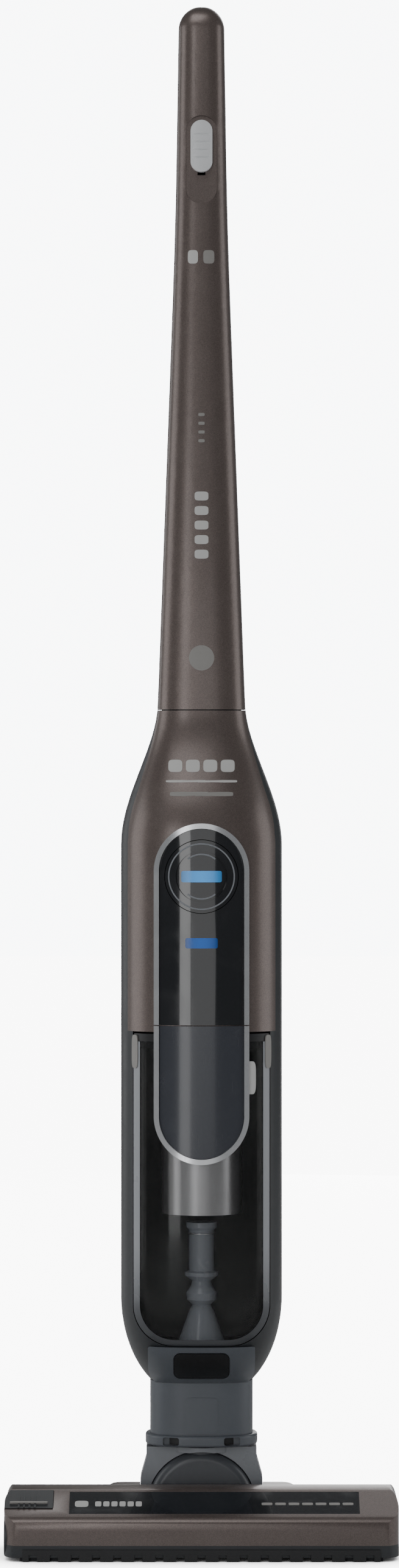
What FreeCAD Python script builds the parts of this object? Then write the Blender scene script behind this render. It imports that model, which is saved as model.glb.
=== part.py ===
"""Cordless upright stick vacuum: powered floor head, tilting and swivelling neck, motor body with a
clear dust container, rear battery pack and a tall tapered handle with a slide switch.

Millimetres. The vacuum stands on its floor head with its front towards -Y and +Z up. The origin is on
the floor, at the middle of the vacuum's footprint. Each piece is written to parts/NAME.step.
"""
import FreeCAD, Part
import math
import os

os.makedirs("parts", exist_ok=True)
V = FreeCAD.Vector

# ---- driving dimensions -------------------------------------------------------------------------
TOTAL_HEIGHT = 1167.0
HEAD_WIDTH = 292.0
GAP = 0.4                     # general clearance between neighbouring mouldings
RUNNING = 0.05                # radial clearance of a shaft in its bore

# Body and handle outline, as functions of height
SECTION_POWER = 2.6           # superellipse power of the cross-section
SECTION_POINTS = 36
BODY_HALF_W, BODY_HALF_D, BODY_Y = 60.5, 54.0, 8.0
NECK_HALF_W, NECK_HALF_D, NECK_Y = 38.8, 26.0, 30.0
NECK_TOP_Z = 124.0            # the body starts here
CHIN_Z, CHIN_HEIGHT = 190.0, 86.0
SHOULDER_TOP_Z, SHOULDER_DROP = 634.0, 106.0
SEAM_Z = 629.0                # the handle plugs into the body here
HANDLE_TIP_HALF_W, HANDLE_TAPER = 17.5, 0.0146
HANDLE_FLARE, KNEE_DROP, KNEE_LENGTH = 0.0215, 150.0, 40.0
HANDLE_CAP_Z = TOTAL_HEIGHT - HANDLE_TIP_HALF_W
HANDLE_FOOT_Y, HANDLE_TOP_Y = 14.0, 66.0
HANDLE_FOOT_HALF_D, HANDLE_TOP_HALF_D = 22.0, 17.0
SHELL_WALL, HOUSING_WALL = 2.4, 3.0

# Oval control panel on the front
PANEL_Z0, PANEL_Z1 = 291.8, 544.3
BEZEL_HALF_W, BEZEL_BAND = 35.4, 3.8
PANEL_HALF_W = BEZEL_HALF_W - BEZEL_BAND - 0.3
PANEL_FRONT_Y, PANEL_BULGE_R = -52.0, 70.0
PANEL_SPLIT_Z = 394.6
BUTTON_Z, BUTTON_R = 505.0, 27.0
BUTTON_BAR = (15.0, 4.2)      # half width and half height of the light bar on the button
SENSOR_Z, SENSOR_BAR = 455.7, (12.0, 3.8)

# Dust container and its bay
CONTAINER_HALF_W, CONTAINER_Z0, CONTAINER_Z1 = 50.4, 155.8, 388.0
CONTAINER_BACK_Y, CONTAINER_CORNER_R, CONTAINER_WALL = 24.0, 30.0, 2.2
LID_Z = 382.0
CYCLONE_Y, CYCLONE_R, CYCLONE_Z = -10.5, 29.5, 253.0
PORT_Y, PORT_R = 12.0, 10.5
BAY_GAP, BAY_WALL = 0.7, 2.0
FRONT_SHELL_Z = 389.5

# Suction motor, battery, electronics
MOTOR_Y, MOTOR_R, MOTOR_Z0, MOTOR_Z1 = 4.0, 36.0, 396.0, 500.0
INTAKE_Y = -5.0
BATTERY_HALF_W, BATTERY_FRONT_Y = 37.0, 35.0
BATTERY_Z0, BATTERY_Z1 = 214.0, 366.0
CELL_COUNT, CELL_R, CELL_LENGTH = 7, 9.1, 65.0
SOCKET_Z, SOCKET_BORE_R, SOCKET_BORE_LENGTH = 570.0, 2.8, 10.0
VENT_COUNT, VENT_PITCH, VENT_HEIGHT, VENT_Z = 10, 7.0, 3.0, 410.0

# Slide switch on the handle
SWITCH_Z, SWITCH_HALF_W, SWITCH_LENGTH, SWITCH_TRAVEL = 1058.0, 8.3, 40.0, 14.0
SWITCH_PLATE_HALF_W = 11.7

# Floor head
HEAD_FRONT_Y, HEAD_REAR_Y, HEAD_TOP_Z, SOLE_Z = -66.0, 14.0, 50.0, 3.0
BLOCK_HALF_W, BLOCK_REAR_Y, BLOCK_TOP_Z = 72.0, 58.0, 42.0
HEAD_SPLIT_Z, COVER_WALL, BASE_WALL = 12.0, 2.2, 3.0
RECESS_HALF_W, RECESS_Y = 46.6, 6.4
PIVOT_Y, PIVOT_Z, HINGE_PIN_R = NECK_Y, 30.0, 4.0
BRUSH_Y, BRUSH_Z, BRUSH_R, BRUSH_CORE_R = -40.0, 16.5, 16.0, 7.5
TUNNEL_R, TUNNEL_WALL = 18.5, 1.8
TUNNEL_X0, TUNNEL_X1 = -137.0, 120.0
PULLEY_X, PULLEY_WIDTH = 124.0, 10.0
BRUSH_TEETH, MOTOR_TEETH, TOOTH_PITCH = 22, 12, 3.14
DRIVE_Y, DRIVE_Z = -4.0, 22.0
WHEEL_X, WHEEL_Y, WHEEL_R, WHEEL_WIDTH, AXLE_R = 60.0, 42.0, 14.5, 10.0, 2.0

# Neck
DOME_R = 40.4                 # the elbow's domed shield
SWIVEL_Z, SPIGOT_R, SPIGOT_TOP_Z, AIRWAY_R = 75.0, 18.0, 98.0, 15.5
COLLAR_TOP_Z, COLLAR_GROW = 83.5, 3.5
DUCT_R, DUCT_WALL = 11.2, 1.5

FAR = 400.0                   # reaches past the object in every direction
FRAME_Y = -9.35               # moves the design so that the origin is at the middle of its footprint


# ---- small helpers ------------------------------------------------------------------------------
def mix(a, b, share):
    return a + (b - a) * share


def smoothstep(t):
    """0 below t = 0, 1 above t = 1, with a smooth S between."""
    t = min(1.0, max(0.0, t))
    return t * t * (3.0 - 2.0 * t)


def box(x0, x1, y0, y1, z0, z1):
    return Part.makeBox(x1 - x0, y1 - y0, z1 - z0, V(x0, y0, z0))


def cylinder(radius, start, direction, length):
    return Part.makeCylinder(radius, length, V(*start), V(*direction))


def prism_from(points, direction):
    """A closed polygon of 3-D points, pushed along a direction."""
    loop = Part.makePolygon([V(*p) for p in points + points[:1]])
    return Part.Face(loop).extrude(V(*direction))


def rounded_outline(half_w, z0, z1, r_bottom, r_top):
    """A face in the XZ plane: an upright rectangle about x = 0 with its corners rounded."""
    corners = [(-half_w, z0, r_bottom), (half_w, z0, r_bottom), (half_w, z1, r_top), (-half_w, z1, r_top)]
    toward = [(1, 1), (-1, 1), (-1, -1), (1, -1)]
    starts, middles, ends = [], [], []
    for i, ((x, z, r), (sx, sz)) in enumerate(zip(corners, toward)):
        along_z, along_x = (x, z + sz * r), (x + sx * r, z)
        first, last = (along_z, along_x) if i % 2 == 0 else (along_x, along_z)
        bulge = r * (1 - math.sqrt(0.5))
        starts.append(V(first[0], 0, first[1]))
        middles.append(V(x + sx * bulge, 0, z + sz * bulge))
        ends.append(V(last[0], 0, last[1]))
    edges = []
    for i in range(4):
        if starts[i].distanceToPoint(ends[i]) > 1e-6:
            edges.append(Part.Arc(starts[i], middles[i], ends[i]).toShape())
        following = starts[(i + 1) % 4]
        if ends[i].distanceToPoint(following) > 1e-6:
            edges.append(Part.LineSegment(ends[i], following).toShape())
    return Part.Face(Part.Wire(edges))


def upright_slab(half_w, z0, z1, r_bottom, r_top, y0=-FAR, y1=FAR):
    """A rounded rectangle seen from the front, pushed through from y0 to y1."""
    face = rounded_outline(half_w, z0, z1, r_bottom, r_top)
    face.translate(V(0, y0, 0))
    return face.extrude(V(0, y1 - y0, 0))


def stadium_slab(half_w, z0, z1, y0=-FAR, y1=FAR):
    return upright_slab(half_w, z0, z1, half_w, half_w, y0, y1)


def bulged(front_y, bulge_r):
    """Everything behind a front that bulges about an upright axis."""
    return cylinder(bulge_r, (0, front_y + bulge_r, 0), (0, 0, 1), TOTAL_HEIGHT)


def rounded_edges(shape, radius, wanted):
    """Fillets the edges whose middle point passes the test."""
    edges = [e for e in shape.Edges if wanted(e.CenterOfMass)]
    return shape.makeFillet(radius, edges)


def joined(*shapes):
    result = shapes[0]
    for shape in shapes[1:]:
        result = result.fuse(shape)
    return result.removeSplitter()


def bent_path(points):
    """Straight runs joined by tangent arcs, each as large as its two runs allow."""
    points = [V(*p) for p in points]
    edges, at = [], points[0]
    for before, corner, after in zip(points, points[1:], points[2:]):
        back, on = (before - corner), (after - corner)
        half_turn = (math.pi - back.getAngle(on)) / 2.0
        reach = 0.45 * min(back.Length, on.Length)
        start = corner + V(back).normalize() * reach
        end = corner + V(on).normalize() * reach
        inward = (V(back).normalize() + V(on).normalize()).normalize()
        radius = reach / math.tan(half_turn)
        middle = corner + inward * (radius / math.cos(half_turn) - radius)
        edges.append(Part.LineSegment(at, start).toShape())
        edges.append(Part.Arc(start, middle, end).toShape())
        at = end
    edges.append(Part.LineSegment(at, points[-1]).toShape())
    return Part.Wire(edges)


def rod_along(points, radius):
    """A round rod whose first run sets the direction of its end face."""
    path = bent_path(points)
    direction = V(*points[1]) - V(*points[0])
    ring = Part.Wire([Part.makeCircle(radius, V(*points[0]), direction)])
    return path.makePipeShell([ring], True, False)


def keep(name, shape):
    """Writes one node. Loose solids of one kind stay together as a group."""
    solids = [s for s in shape.Solids if s.Volume > 0.5]
    result = solids[0] if len(solids) == 1 else Part.makeCompound(solids)
    result = result.translated(V(0, FRAME_Y, 0))
    result.exportStep(f"parts/{name}.step")


# ---- the flowing outline of neck, body and handle -----------------------------------------------
def handle_half_width(z):
    """The handle widens downwards in two straight tapers that a hyperbola joins below the grip."""
    below = HANDLE_CAP_Z - z
    past_knee = below - KNEE_DROP
    flare = (math.hypot(past_knee, KNEE_LENGTH) + past_knee) / 2.0
    return HANDLE_TIP_HALF_W + HANDLE_TAPER * below + HANDLE_FLARE * flare


def handle_centre_y(z):
    return mix(HANDLE_FOOT_Y, HANDLE_TOP_Y, smoothstep((z - SEAM_Z) / (HANDLE_CAP_Z - SEAM_Z)))


def handle_half_depth(z):
    share = max(0.0, (z - SEAM_Z) / (HANDLE_CAP_Z - SEAM_Z))
    return mix(HANDLE_FOOT_HALF_D, HANDLE_TOP_HALF_D, share)


def outline(z):
    """Half width, middle y and half depth of the cross-section at height z."""
    if z < CHIN_Z:
        drop = (CHIN_Z - z) / CHIN_HEIGHT
        half_w = BODY_HALF_W * math.sqrt(1.0 - drop ** 2)
        share = (BODY_HALF_W - half_w) / (BODY_HALF_W - NECK_HALF_W)
        return half_w, mix(BODY_Y, NECK_Y, share), mix(BODY_HALF_D, NECK_HALF_D, share)
    share = smoothstep((SHOULDER_TOP_Z - z) / SHOULDER_DROP)
    return (mix(handle_half_width(z), BODY_HALF_W, share),
            mix(handle_centre_y(z), BODY_Y, share),
            mix(handle_half_depth(z), BODY_HALF_D, share))


def section(z, half_w, middle_y, half_d):
    """A closed superellipse at height z."""
    points = []
    for i in range(SECTION_POINTS):
        turn = 2.0 * math.pi * i / SECTION_POINTS
        c, s = math.cos(turn), math.sin(turn)
        x = half_w * math.copysign(abs(c) ** (2.0 / SECTION_POWER), c)
        y = middle_y + half_d * math.copysign(abs(s) ** (2.0 / SECTION_POWER), s)
        points.append(V(x, y, z))
    curve = Part.BSplineCurve()
    curve.interpolate(Points=points, PeriodicFlag=True)
    return Part.Wire([curve.toShape()])


def oval_column(half_w, half_d, z0, z1):
    """A straight upright column of the neck's section."""
    return Part.Face(section(z0, half_w, NECK_Y, half_d)).extrude(V(0, 0, z1 - z0))


def ring_at(z, inset):
    half_w, middle_y, half_d = outline(z)
    return section(z, half_w - inset, middle_y, half_d - inset)


def loft_between(z0, z1, steps, inset):
    """A smooth loft through evenly spaced rings."""
    rings = [ring_at(mix(z0, z1, i / steps), inset) for i in range(steps + 1)]
    return Part.makeLoft(rings, True, False)


WHOLE_BODIES = {}


def whole_body(inset):
    """Chin, straight middle and shoulder, with the surface moved in by inset."""
    if inset not in WHOLE_BODIES:
        shoulder_z = SHOULDER_TOP_Z - SHOULDER_DROP
        chin = loft_between(NECK_TOP_Z - 9, CHIN_Z, 8, inset)
        middle = Part.Face(ring_at(CHIN_Z, inset)).extrude(V(0, 0, shoulder_z - CHIN_Z))
        shoulder = loft_between(shoulder_z, SHOULDER_TOP_Z + 10, 10, inset)
        WHOLE_BODIES[inset] = chin.fuse([middle, shoulder])
    return WHOLE_BODIES[inset]


def envelope(z0, z1, inset=0.0):
    """The part of the whole body between two heights."""
    return whole_body(inset).common(box(-FAR, FAR, -FAR, FAR, z0, z1))


def handle_form(inset=0.0, z0=SEAM_Z + GAP):
    """The handle's solid with a domed tip, with its surface moved in by inset."""
    grip = loft_between(z0, HANDLE_CAP_Z, 12, inset)
    half_w, middle_y, half_d = outline(HANDLE_CAP_Z)
    rings = []
    for turn in range(0, 90, 15):
        c, s = math.cos(math.radians(turn)), math.sin(math.radians(turn))
        z = HANDLE_CAP_Z + (HANDLE_TIP_HALF_W - inset) * s / math.sin(math.radians(75))
        rings.append(section(z, (half_w - inset) * c, middle_y, (half_d - inset) * c))
    return grip.fuse(Part.makeLoft(rings, True, False))


def front_side():
    """Everything in front of the seam between the coloured front mouldings and the black rear."""
    seam = [(-22.0, FRONT_SHELL_Z), (-22.0, 536.0), (-14.0, 570.0), (4.0, 612.0), (12.0, 640.0)]
    seam += [(handle_centre_y(z) - 2.0, z) for z in range(680, 1140, 40)]
    seam += [(HANDLE_TOP_Y - 2.0, TOTAL_HEIGHT + 5.0)]
    loop = [(0, -FAR, FRONT_SHELL_Z)] + [(0, y, z) for y, z in seam] + [(0, -FAR, TOTAL_HEIGHT + 5.0)]
    solid = prism_from(loop, (2 * FAR, 0, 0))
    solid.translate(V(-FAR, 0, 0))
    return solid


BODY = envelope(NECK_TOP_Z, SEAM_Z)
BODY_INSIDE = envelope(NECK_TOP_Z + HOUSING_WALL, SEAM_Z + 5, HOUSING_WALL)
FRONT_SIDE = front_side()


# ---- floor head ---------------------------------------------------------------------------------
def head_form(inset=0.0, z0=SOLE_Z):
    """The floor head's solid: a wide sloped bar with a block behind its middle."""
    half = HEAD_WIDTH / 2.0 - inset
    front, rear, top = HEAD_FRONT_Y + inset, HEAD_REAR_Y - inset, HEAD_TOP_Z - inset
    nose_z = 30.0 - 0.4 * inset
    side = [(-half, front + 3, z0), (-half, front, nose_z), (-half, -20, top),
            (-half, rear, top - 4), (-half, rear, z0)]
    bar = prism_from(side, (2 * half, 0, 0))
    bar = rounded_edges(bar, 10 - inset, lambda p: abs(p.x) < 1 and abs(p.z - nose_z) < 0.1)
    bar = rounded_edges(bar, 24, lambda p: abs(p.x) < 1 and abs(p.y + 20) < 0.1 and p.z > top - 0.1)
    bar = rounded_edges(bar, 8 - inset, lambda p: abs(p.x) < 1 and abs(p.y - rear) < 0.1 and p.z > 20)
    seen_from_front = upright_slab(half, z0 - 20, top, 1.0, 12 - inset)
    plan = upright_slab(half, front, rear, 16 - inset, 8 - inset, 0, FAR)
    plan.rotate(V(0, 0, 0), V(1, 0, 0), 90)
    plan = plan.mirror(V(0, 0, 0), V(0, 1, 0))
    if plan.BoundBox.ZMax < 1:
        plan = plan.mirror(V(0, 0, 0), V(0, 0, 1))
    if abs(plan.BoundBox.YMin - front) > 0.5:
        plan = plan.mirror(V(0, 0, 0), V(0, 1, 0))
    bar = bar.common(seen_from_front).common(plan)
    block = box(-BLOCK_HALF_W + inset, BLOCK_HALF_W - inset, -10, BLOCK_REAR_Y - inset, z0,
                BLOCK_TOP_Z - inset)
    block = rounded_edges(block, 12 - inset, lambda p: abs(p.z - (z0 + BLOCK_TOP_Z - inset) / 2) < 1
                          and p.y > 50)
    block = rounded_edges(block, 6, lambda p: p.z > BLOCK_TOP_Z - inset - 0.5 and p.y > 0)
    return joined(bar, block)


def brush_line(radius, x0, x1):
    """A cylinder on the brush's axis."""
    return cylinder(radius, (x0, BRUSH_Y, BRUSH_Z), (1, 0, 0), x1 - x0)


def on_both_sides(shape):
    """The shape and its mirror image about the middle plane."""
    return joined(shape, shape.mirror(V(0, 0, 0), V(1, 0, 0)))


def head_recess():
    """The space behind the bar in which the neck's elbow tilts."""
    return box(-RECESS_HALF_W, RECESS_HALF_W, RECESS_Y, FAR, 7.0, FAR)


def wheel_wells():
    well = cylinder(WHEEL_R + 1.5, (WHEEL_X - 6.4, WHEEL_Y, WHEEL_R), (1, 0, 0), 12.8)
    drop = box(WHEEL_X - 6.4, WHEEL_X + 6.4, WHEEL_Y - WHEEL_R - 1.5, WHEEL_Y + WHEEL_R + 1.5,
               -5, WHEEL_R)
    return on_both_sides(joined(well, drop))


LATCH_X1, LATCH_Y0, LATCH_Y1, LATCH_Z0 = -110.0, -57.5, -27.0, 37.6
INLAY_X0, INLAY_X1, INLAY_Y0, INLAY_Y1 = -98.0, 117.0, -56.0, -28.0
HEAD = head_form()


def head_cover():
    shell = HEAD.cut(head_form(COVER_WALL, -10.0))
    shell = shell.cut(box(-FAR, FAR, -FAR, FAR, -FAR, HEAD_SPLIT_Z)).cut(head_recess())
    latch_window = box(-FAR, LATCH_X1 + GAP, LATCH_Y0 - GAP, LATCH_Y1 + GAP, LATCH_Z0 - GAP, FAR)
    inlay_pocket = box(INLAY_X0, INLAY_X1, INLAY_Y0, INLAY_Y1, 20, FAR).cut(head_form(1.0))
    shell = shell.cut(latch_window).cut(inlay_pocket)
    shell = shell.cut(brush_line(TUNNEL_R, -FAR, TUNNEL_X0 + 5)).cut(wheel_wells())
    return shell


def head_base():
    tray = HEAD.common(box(-FAR, FAR, -FAR, FAR, SOLE_Z, HEAD_SPLIT_Z))
    tray = tray.cut(head_form(BASE_WALL, SOLE_Z + BASE_WALL))
    inside = head_form(COVER_WALL + 0.2, SOLE_Z)
    tunnel = brush_line(TUNNEL_R + TUNNEL_WALL, TUNNEL_X0 + 6, TUNNEL_X1 + 3)
    tunnel = tunnel.cut(box(-FAR, FAR, -FAR, FAR, -FAR, SOLE_Z))
    ear = box(RECESS_HALF_W + 0.2, 52.0, RECESS_Y - 2.4, BLOCK_REAR_Y - 3, SOLE_Z, HEAD_TOP_Z)
    saddle = box(-50, 50, RECESS_Y - 2.4, RECESS_Y, SOLE_Z, HEAD_TOP_Z)
    duct = box(-22, 22, BRUSH_Y + TUNNEL_R - 2, RECESS_Y - 2, 12, 38)
    bearing = box(136.5, 140.0, BRUSH_Y - 9, BRUSH_Y + 9, SOLE_Z, 26)
    motor_posts = joined(*[box(x, x + 4, -18, 10, SOLE_Z, 22) for x in (60, 108)])
    axle_post = box(66.8, 69.4, WHEEL_Y - 5, WHEEL_Y + 5, SOLE_Z, WHEEL_R + 5)
    ribs = joined(on_both_sides(joined(ear, axle_post)), saddle, duct, tunnel, bearing, motor_posts)
    ribs = ribs.common(inside)
    base = joined(tray, ribs)
    base = base.cut(brush_line(TUNNEL_R, -FAR, TUNNEL_X1))
    base = base.cut(box(-132, TUNNEL_X1, BRUSH_Y - 16, BRUSH_Y + 16, -5, 8))
    base = base.cut(box(-19, 19, BRUSH_Y + 10, RECESS_Y + 1, 15, 35))
    base = base.cut(cylinder(HINGE_PIN_R, (-FAR, PIVOT_Y, PIVOT_Z), (1, 0, 0), 2 * FAR))
    base = base.cut(brush_line(3.0 + RUNNING, TUNNEL_X1 - 1, FAR / 2))
    base = base.cut(brush_line(12.9, TUNNEL_X1 + 3.1, 136.4)).cut(wheel_wells())
    base = base.cut(box(TUNNEL_X1 + 3.1, 136.4, BRUSH_Y - 4, BRUSH_Y + 11, 4.6, 8))
    base = base.cut(cylinder(13.3, (58, DRIVE_Y, DRIVE_Z), (1, 0, 0), 60))
    axle_hole = cylinder(AXLE_R, (49.0, WHEEL_Y, WHEEL_R), (1, 0, 0), 22.0)
    return base.cut(on_both_sides(axle_hole))


def front_lip():
    """The castellated strip along the front edge that lets coarse dirt through."""
    half = HEAD_WIDTH / 2.0 - 14.0
    lip = box(-half, half, HEAD_FRONT_Y + 1.2, HEAD_FRONT_Y + 5.0, 0.6, 9.0)
    lip = lip.cut(HEAD)
    count, notch = 17, 6.0
    for i in range(count):
        x = -half + (i + 0.5) * 2 * half / count
        lip = lip.cut(box(x - notch / 2, x + notch / 2, -FAR, FAR, -1, 5.2))
    return lip


def glide_pads():
    """Two felt pads under the front edge, flat on the floor."""
    return joined(box(-134, -104, -60, -57, 0, SOLE_Z), box(104, 134, -60, -57, 0, SOLE_Z))


def cover_inlay():
    field = box(INLAY_X0 + 0.2, INLAY_X1 - 0.2, INLAY_Y0 + 0.2, INLAY_Y1 - 0.2, 20, FAR)
    return HEAD.common(field).cut(head_form(1.0))


def brush_latch():
    """Slide catch on the left of the cover, with raised grip ribs."""
    field = box(-HEAD_WIDTH / 2, LATCH_X1, LATCH_Y0, LATCH_Y1, LATCH_Z0, FAR)
    catch = head_form(-0.6).common(field).cut(head_form(3.6))
    ribs = [box(x, x + 1.4, LATCH_Y0 + 8, LATCH_Y1 - 8, LATCH_Z0, FAR) for x in (-136, -132, -128, -124)]
    grips = head_form(-1.5).common(joined(*ribs)).cut(head_form(0.5))
    return joined(catch, grips)


def brush_end_cap():
    """Left end cap with the bearing of the brush. It pulls out with the brush."""
    disc = brush_line(TUNNEL_R - 0.4, -HEAD_WIDTH / 2, TUNNEL_X0 - 2)
    disc = disc.cut(box(-FAR, FAR, -FAR, FAR, -FAR, SOLE_Z + 0.5))
    boss = brush_line(6.5, TUNNEL_X0 - 3, -130.5)
    cap = joined(disc, boss).cut(brush_line(3.0 + RUNNING, -140, -120))
    for side in (-1, 1):
        y = BRUSH_Y + side * 8.5
        cap = cap.cut(box(-HEAD_WIDTH / 2 - 1, -HEAD_WIDTH / 2 + 2.5, y - 4.5, y + 4.5, BRUSH_Z - 6, BRUSH_Z + 6))
    return cap


def brush_core():
    core = joined(brush_line(BRUSH_CORE_R, -128, TUNNEL_X1 - 2), brush_line(3.0, -136, -127))
    socket = box(TUNNEL_X1 - 12, TUNNEL_X1, BRUSH_Y - 2.3, BRUSH_Y + 2.3, BRUSH_Z - 2.3, BRUSH_Z + 2.3)
    core = core.cut(socket)
    for x, _turn, bristle in tuft_places():
        core = core.cut(bristle)
    return core


def tuft_places():
    """Bristle tufts on two helices that run from both ends to the middle."""
    places = []
    rows, per_row, pitch = 2, 27, 9.0
    for row in range(rows):
        for i in range(per_row):
            x = (i - (per_row - 1) / 2.0) * pitch - 5.0
            turn = 180.0 * row + 14.0 * abs(i - (per_row - 1) / 2.0)
            start = BRUSH_CORE_R - 2.0
            direction = (0, math.cos(math.radians(turn)), math.sin(math.radians(turn)))
            root = (x, BRUSH_Y + start * direction[1], BRUSH_Z + start * direction[2])
            places.append((x, turn, cylinder(1.7, root, direction, BRUSH_R - start)))
    return places


def brush_bristles():
    return Part.makeCompound([bristle for _x, _turn, bristle in tuft_places()])


def toothed_wheel(teeth, y, z, bore_r):
    radius = teeth * TOOTH_PITCH / (2.0 * math.pi)
    wheel = cylinder(radius, (PULLEY_X, y, z), (1, 0, 0), PULLEY_WIDTH)
    for i in range(teeth):
        turn = 2.0 * math.pi * i / teeth
        place = (PULLEY_X - 1, y + radius * math.cos(turn), z + radius * math.sin(turn))
        wheel = wheel.cut(cylinder(0.75, place, (1, 0, 0), PULLEY_WIDTH + 2))
    if bore_r:
        wheel = wheel.cut(cylinder(bore_r, (PULLEY_X - 1, y, z), (1, 0, 0), PULLEY_WIDTH + 2))
    return wheel


def brush_pulley():
    """Driven pulley. Its square end drives the brush, and it turns in the head's end wall."""
    wheel = toothed_wheel(BRUSH_TEETH, BRUSH_Y, BRUSH_Z, 0)
    shaft = brush_line(3.0, TUNNEL_X1 - 0.5, 139.5)
    drive = box(TUNNEL_X1 - 9, TUNNEL_X1, BRUSH_Y - 2.1, BRUSH_Y + 2.1, BRUSH_Z - 2.1, BRUSH_Z + 2.1)
    return joined(wheel, shaft, drive)


def motor_pulley():
    """Driving pulley on the brush motor's shaft."""
    wheel = toothed_wheel(MOTOR_TEETH, DRIVE_Y, DRIVE_Z, 0)
    return joined(wheel, cylinder(1.5, (112, DRIVE_Y, DRIVE_Z), (1, 0, 0), PULLEY_X - 111))


def brush_motor():
    can = cylinder(13.0, (60, DRIVE_Y, DRIVE_Z), (1, 0, 0), 55.8)
    nose = cylinder(5.0, (115, DRIVE_Y, DRIVE_Z), (1, 0, 0), 4)
    terminals = joined(*[box(56, 61, DRIVE_Y + y, DRIVE_Y + y + 1, DRIVE_Z - 2, DRIVE_Z + 2) for y in (-6, 5)])
    bore = cylinder(1.5 + RUNNING, (111, DRIVE_Y, DRIVE_Z), (1, 0, 0), 20)
    return joined(can, nose, terminals).cut(bore)


def belt_loop(clearance, x0, x1):
    """The tight loop round both pulleys, standing off them by a clearance."""
    r1 = BRUSH_TEETH * TOOTH_PITCH / (2.0 * math.pi) + clearance
    r2 = MOTOR_TEETH * TOOTH_PITCH / (2.0 * math.pi) + clearance
    a, b = V(x0, BRUSH_Y, BRUSH_Z), V(x0, DRIVE_Y, DRIVE_Z)
    line = math.atan2(b.z - a.z, b.y - a.y)
    spread = math.acos((r1 - r2) / a.distanceToPoint(b))

    def rim(centre, radius, turn):
        return V(x0, centre.y + radius * math.cos(turn), centre.z + radius * math.sin(turn))

    edges = [
        Part.Arc(rim(a, r1, line + spread), rim(a, r1, line + math.pi), rim(a, r1, line - spread)).toShape(),
        Part.LineSegment(rim(a, r1, line - spread), rim(b, r2, line - spread)).toShape(),
        Part.Arc(rim(b, r2, line - spread), rim(b, r2, line), rim(b, r2, line + spread)).toShape(),
        Part.LineSegment(rim(b, r2, line + spread), rim(a, r1, line + spread)).toShape(),
    ]
    return Part.Face(Part.Wire(edges)).extrude(V(x1 - x0, 0, 0))


def drive_belt():
    return belt_loop(1.6, PULLEY_X + 1, PULLEY_X + 9).cut(belt_loop(0.2, PULLEY_X, PULLEY_X + 10))


def wheel_hub(x):
    x0 = x - WHEEL_WIDTH / 2
    hub = cylinder(WHEEL_R - 3, (x0, WHEEL_Y, WHEEL_R), (1, 0, 0), WHEEL_WIDTH)
    dish = cylinder(WHEEL_R - 5, (x0, WHEEL_Y, WHEEL_R), (1, 0, 0), 2.0)
    dish = dish.cut(cylinder(4, (x0, WHEEL_Y, WHEEL_R), (1, 0, 0), 2.0))
    return hub.cut(dish).cut(cylinder(AXLE_R + RUNNING, (x0 - 1, WHEEL_Y, WHEEL_R), (1, 0, 0), 12))


def wheel_tyre(x):
    x0 = x - WHEEL_WIDTH / 2
    tyre = cylinder(WHEEL_R, (x0, WHEEL_Y, WHEEL_R), (1, 0, 0), WHEEL_WIDTH)
    tyre = tyre.makeFillet(1.5, [e for e in tyre.Edges if e.Length > 50])
    return tyre.cut(cylinder(WHEEL_R - 3, (x0, WHEEL_Y, WHEEL_R), (1, 0, 0), WHEEL_WIDTH))


def head_screws():
    """Screws that hold the base to the cover from below."""
    screws = []
    for x, y in ((-118, 2), (118, 2), (-30, 0), (30, 0)):
        head = cylinder(3.4, (x, y, SOLE_Z + 0.6), (0, 0, 1), 2.4)
        head = head.cut(box(x - 2.4, x + 2.4, y - 0.4, y + 0.4, 0, SOLE_Z + 1.6))
        head = head.cut(box(x - 0.4, x + 0.4, y - 2.4, y + 2.4, 0, SOLE_Z + 1.6))
        screws.append(joined(head, cylinder(1.5, (x, y, SOLE_Z + 2.8), (0, 0, 1), 7)))
    return Part.makeCompound(screws)


def make_floor_head():
    base, cover = head_base(), head_cover()
    for screw in head_screws().Solids:
        c = screw.BoundBox.Center
        hole = cylinder(3.5, (c.x, c.y, 0), (0, 0, 1), 13)
        base, cover = base.cut(hole), cover.cut(hole)
    keep("head_base", base)
    keep("head_cover", cover)
    keep("cover_inlay", cover_inlay())
    keep("front_lip", front_lip())
    keep("glide_pads", glide_pads())
    keep("head_screws", head_screws())
    keep("brush_motor", brush_motor())
    keep("drive_belt", drive_belt())
    keep("hinge_pins", on_both_sides(cylinder(HINGE_PIN_R, (38.0, PIVOT_Y, PIVOT_Z), (1, 0, 0), 14.0)))
    keep("wheel_axles", on_both_sides(cylinder(AXLE_R, (50.0, WHEEL_Y, WHEEL_R), (1, 0, 0), 19.0)))
    keep("brush_latch", brush_latch())
    keep("brush_end_cap", brush_end_cap())
    keep("brush_core", brush_core())
    keep("brush_bristles", brush_bristles())
    keep("brush_pulley", brush_pulley())
    keep("motor_pulley", motor_pulley())
    for side, x in (("left", -WHEEL_X), ("right", WHEEL_X)):
        keep(f"{side}_wheel_hub", wheel_hub(x))
        keep(f"{side}_wheel_tyre", wheel_tyre(x))


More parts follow.
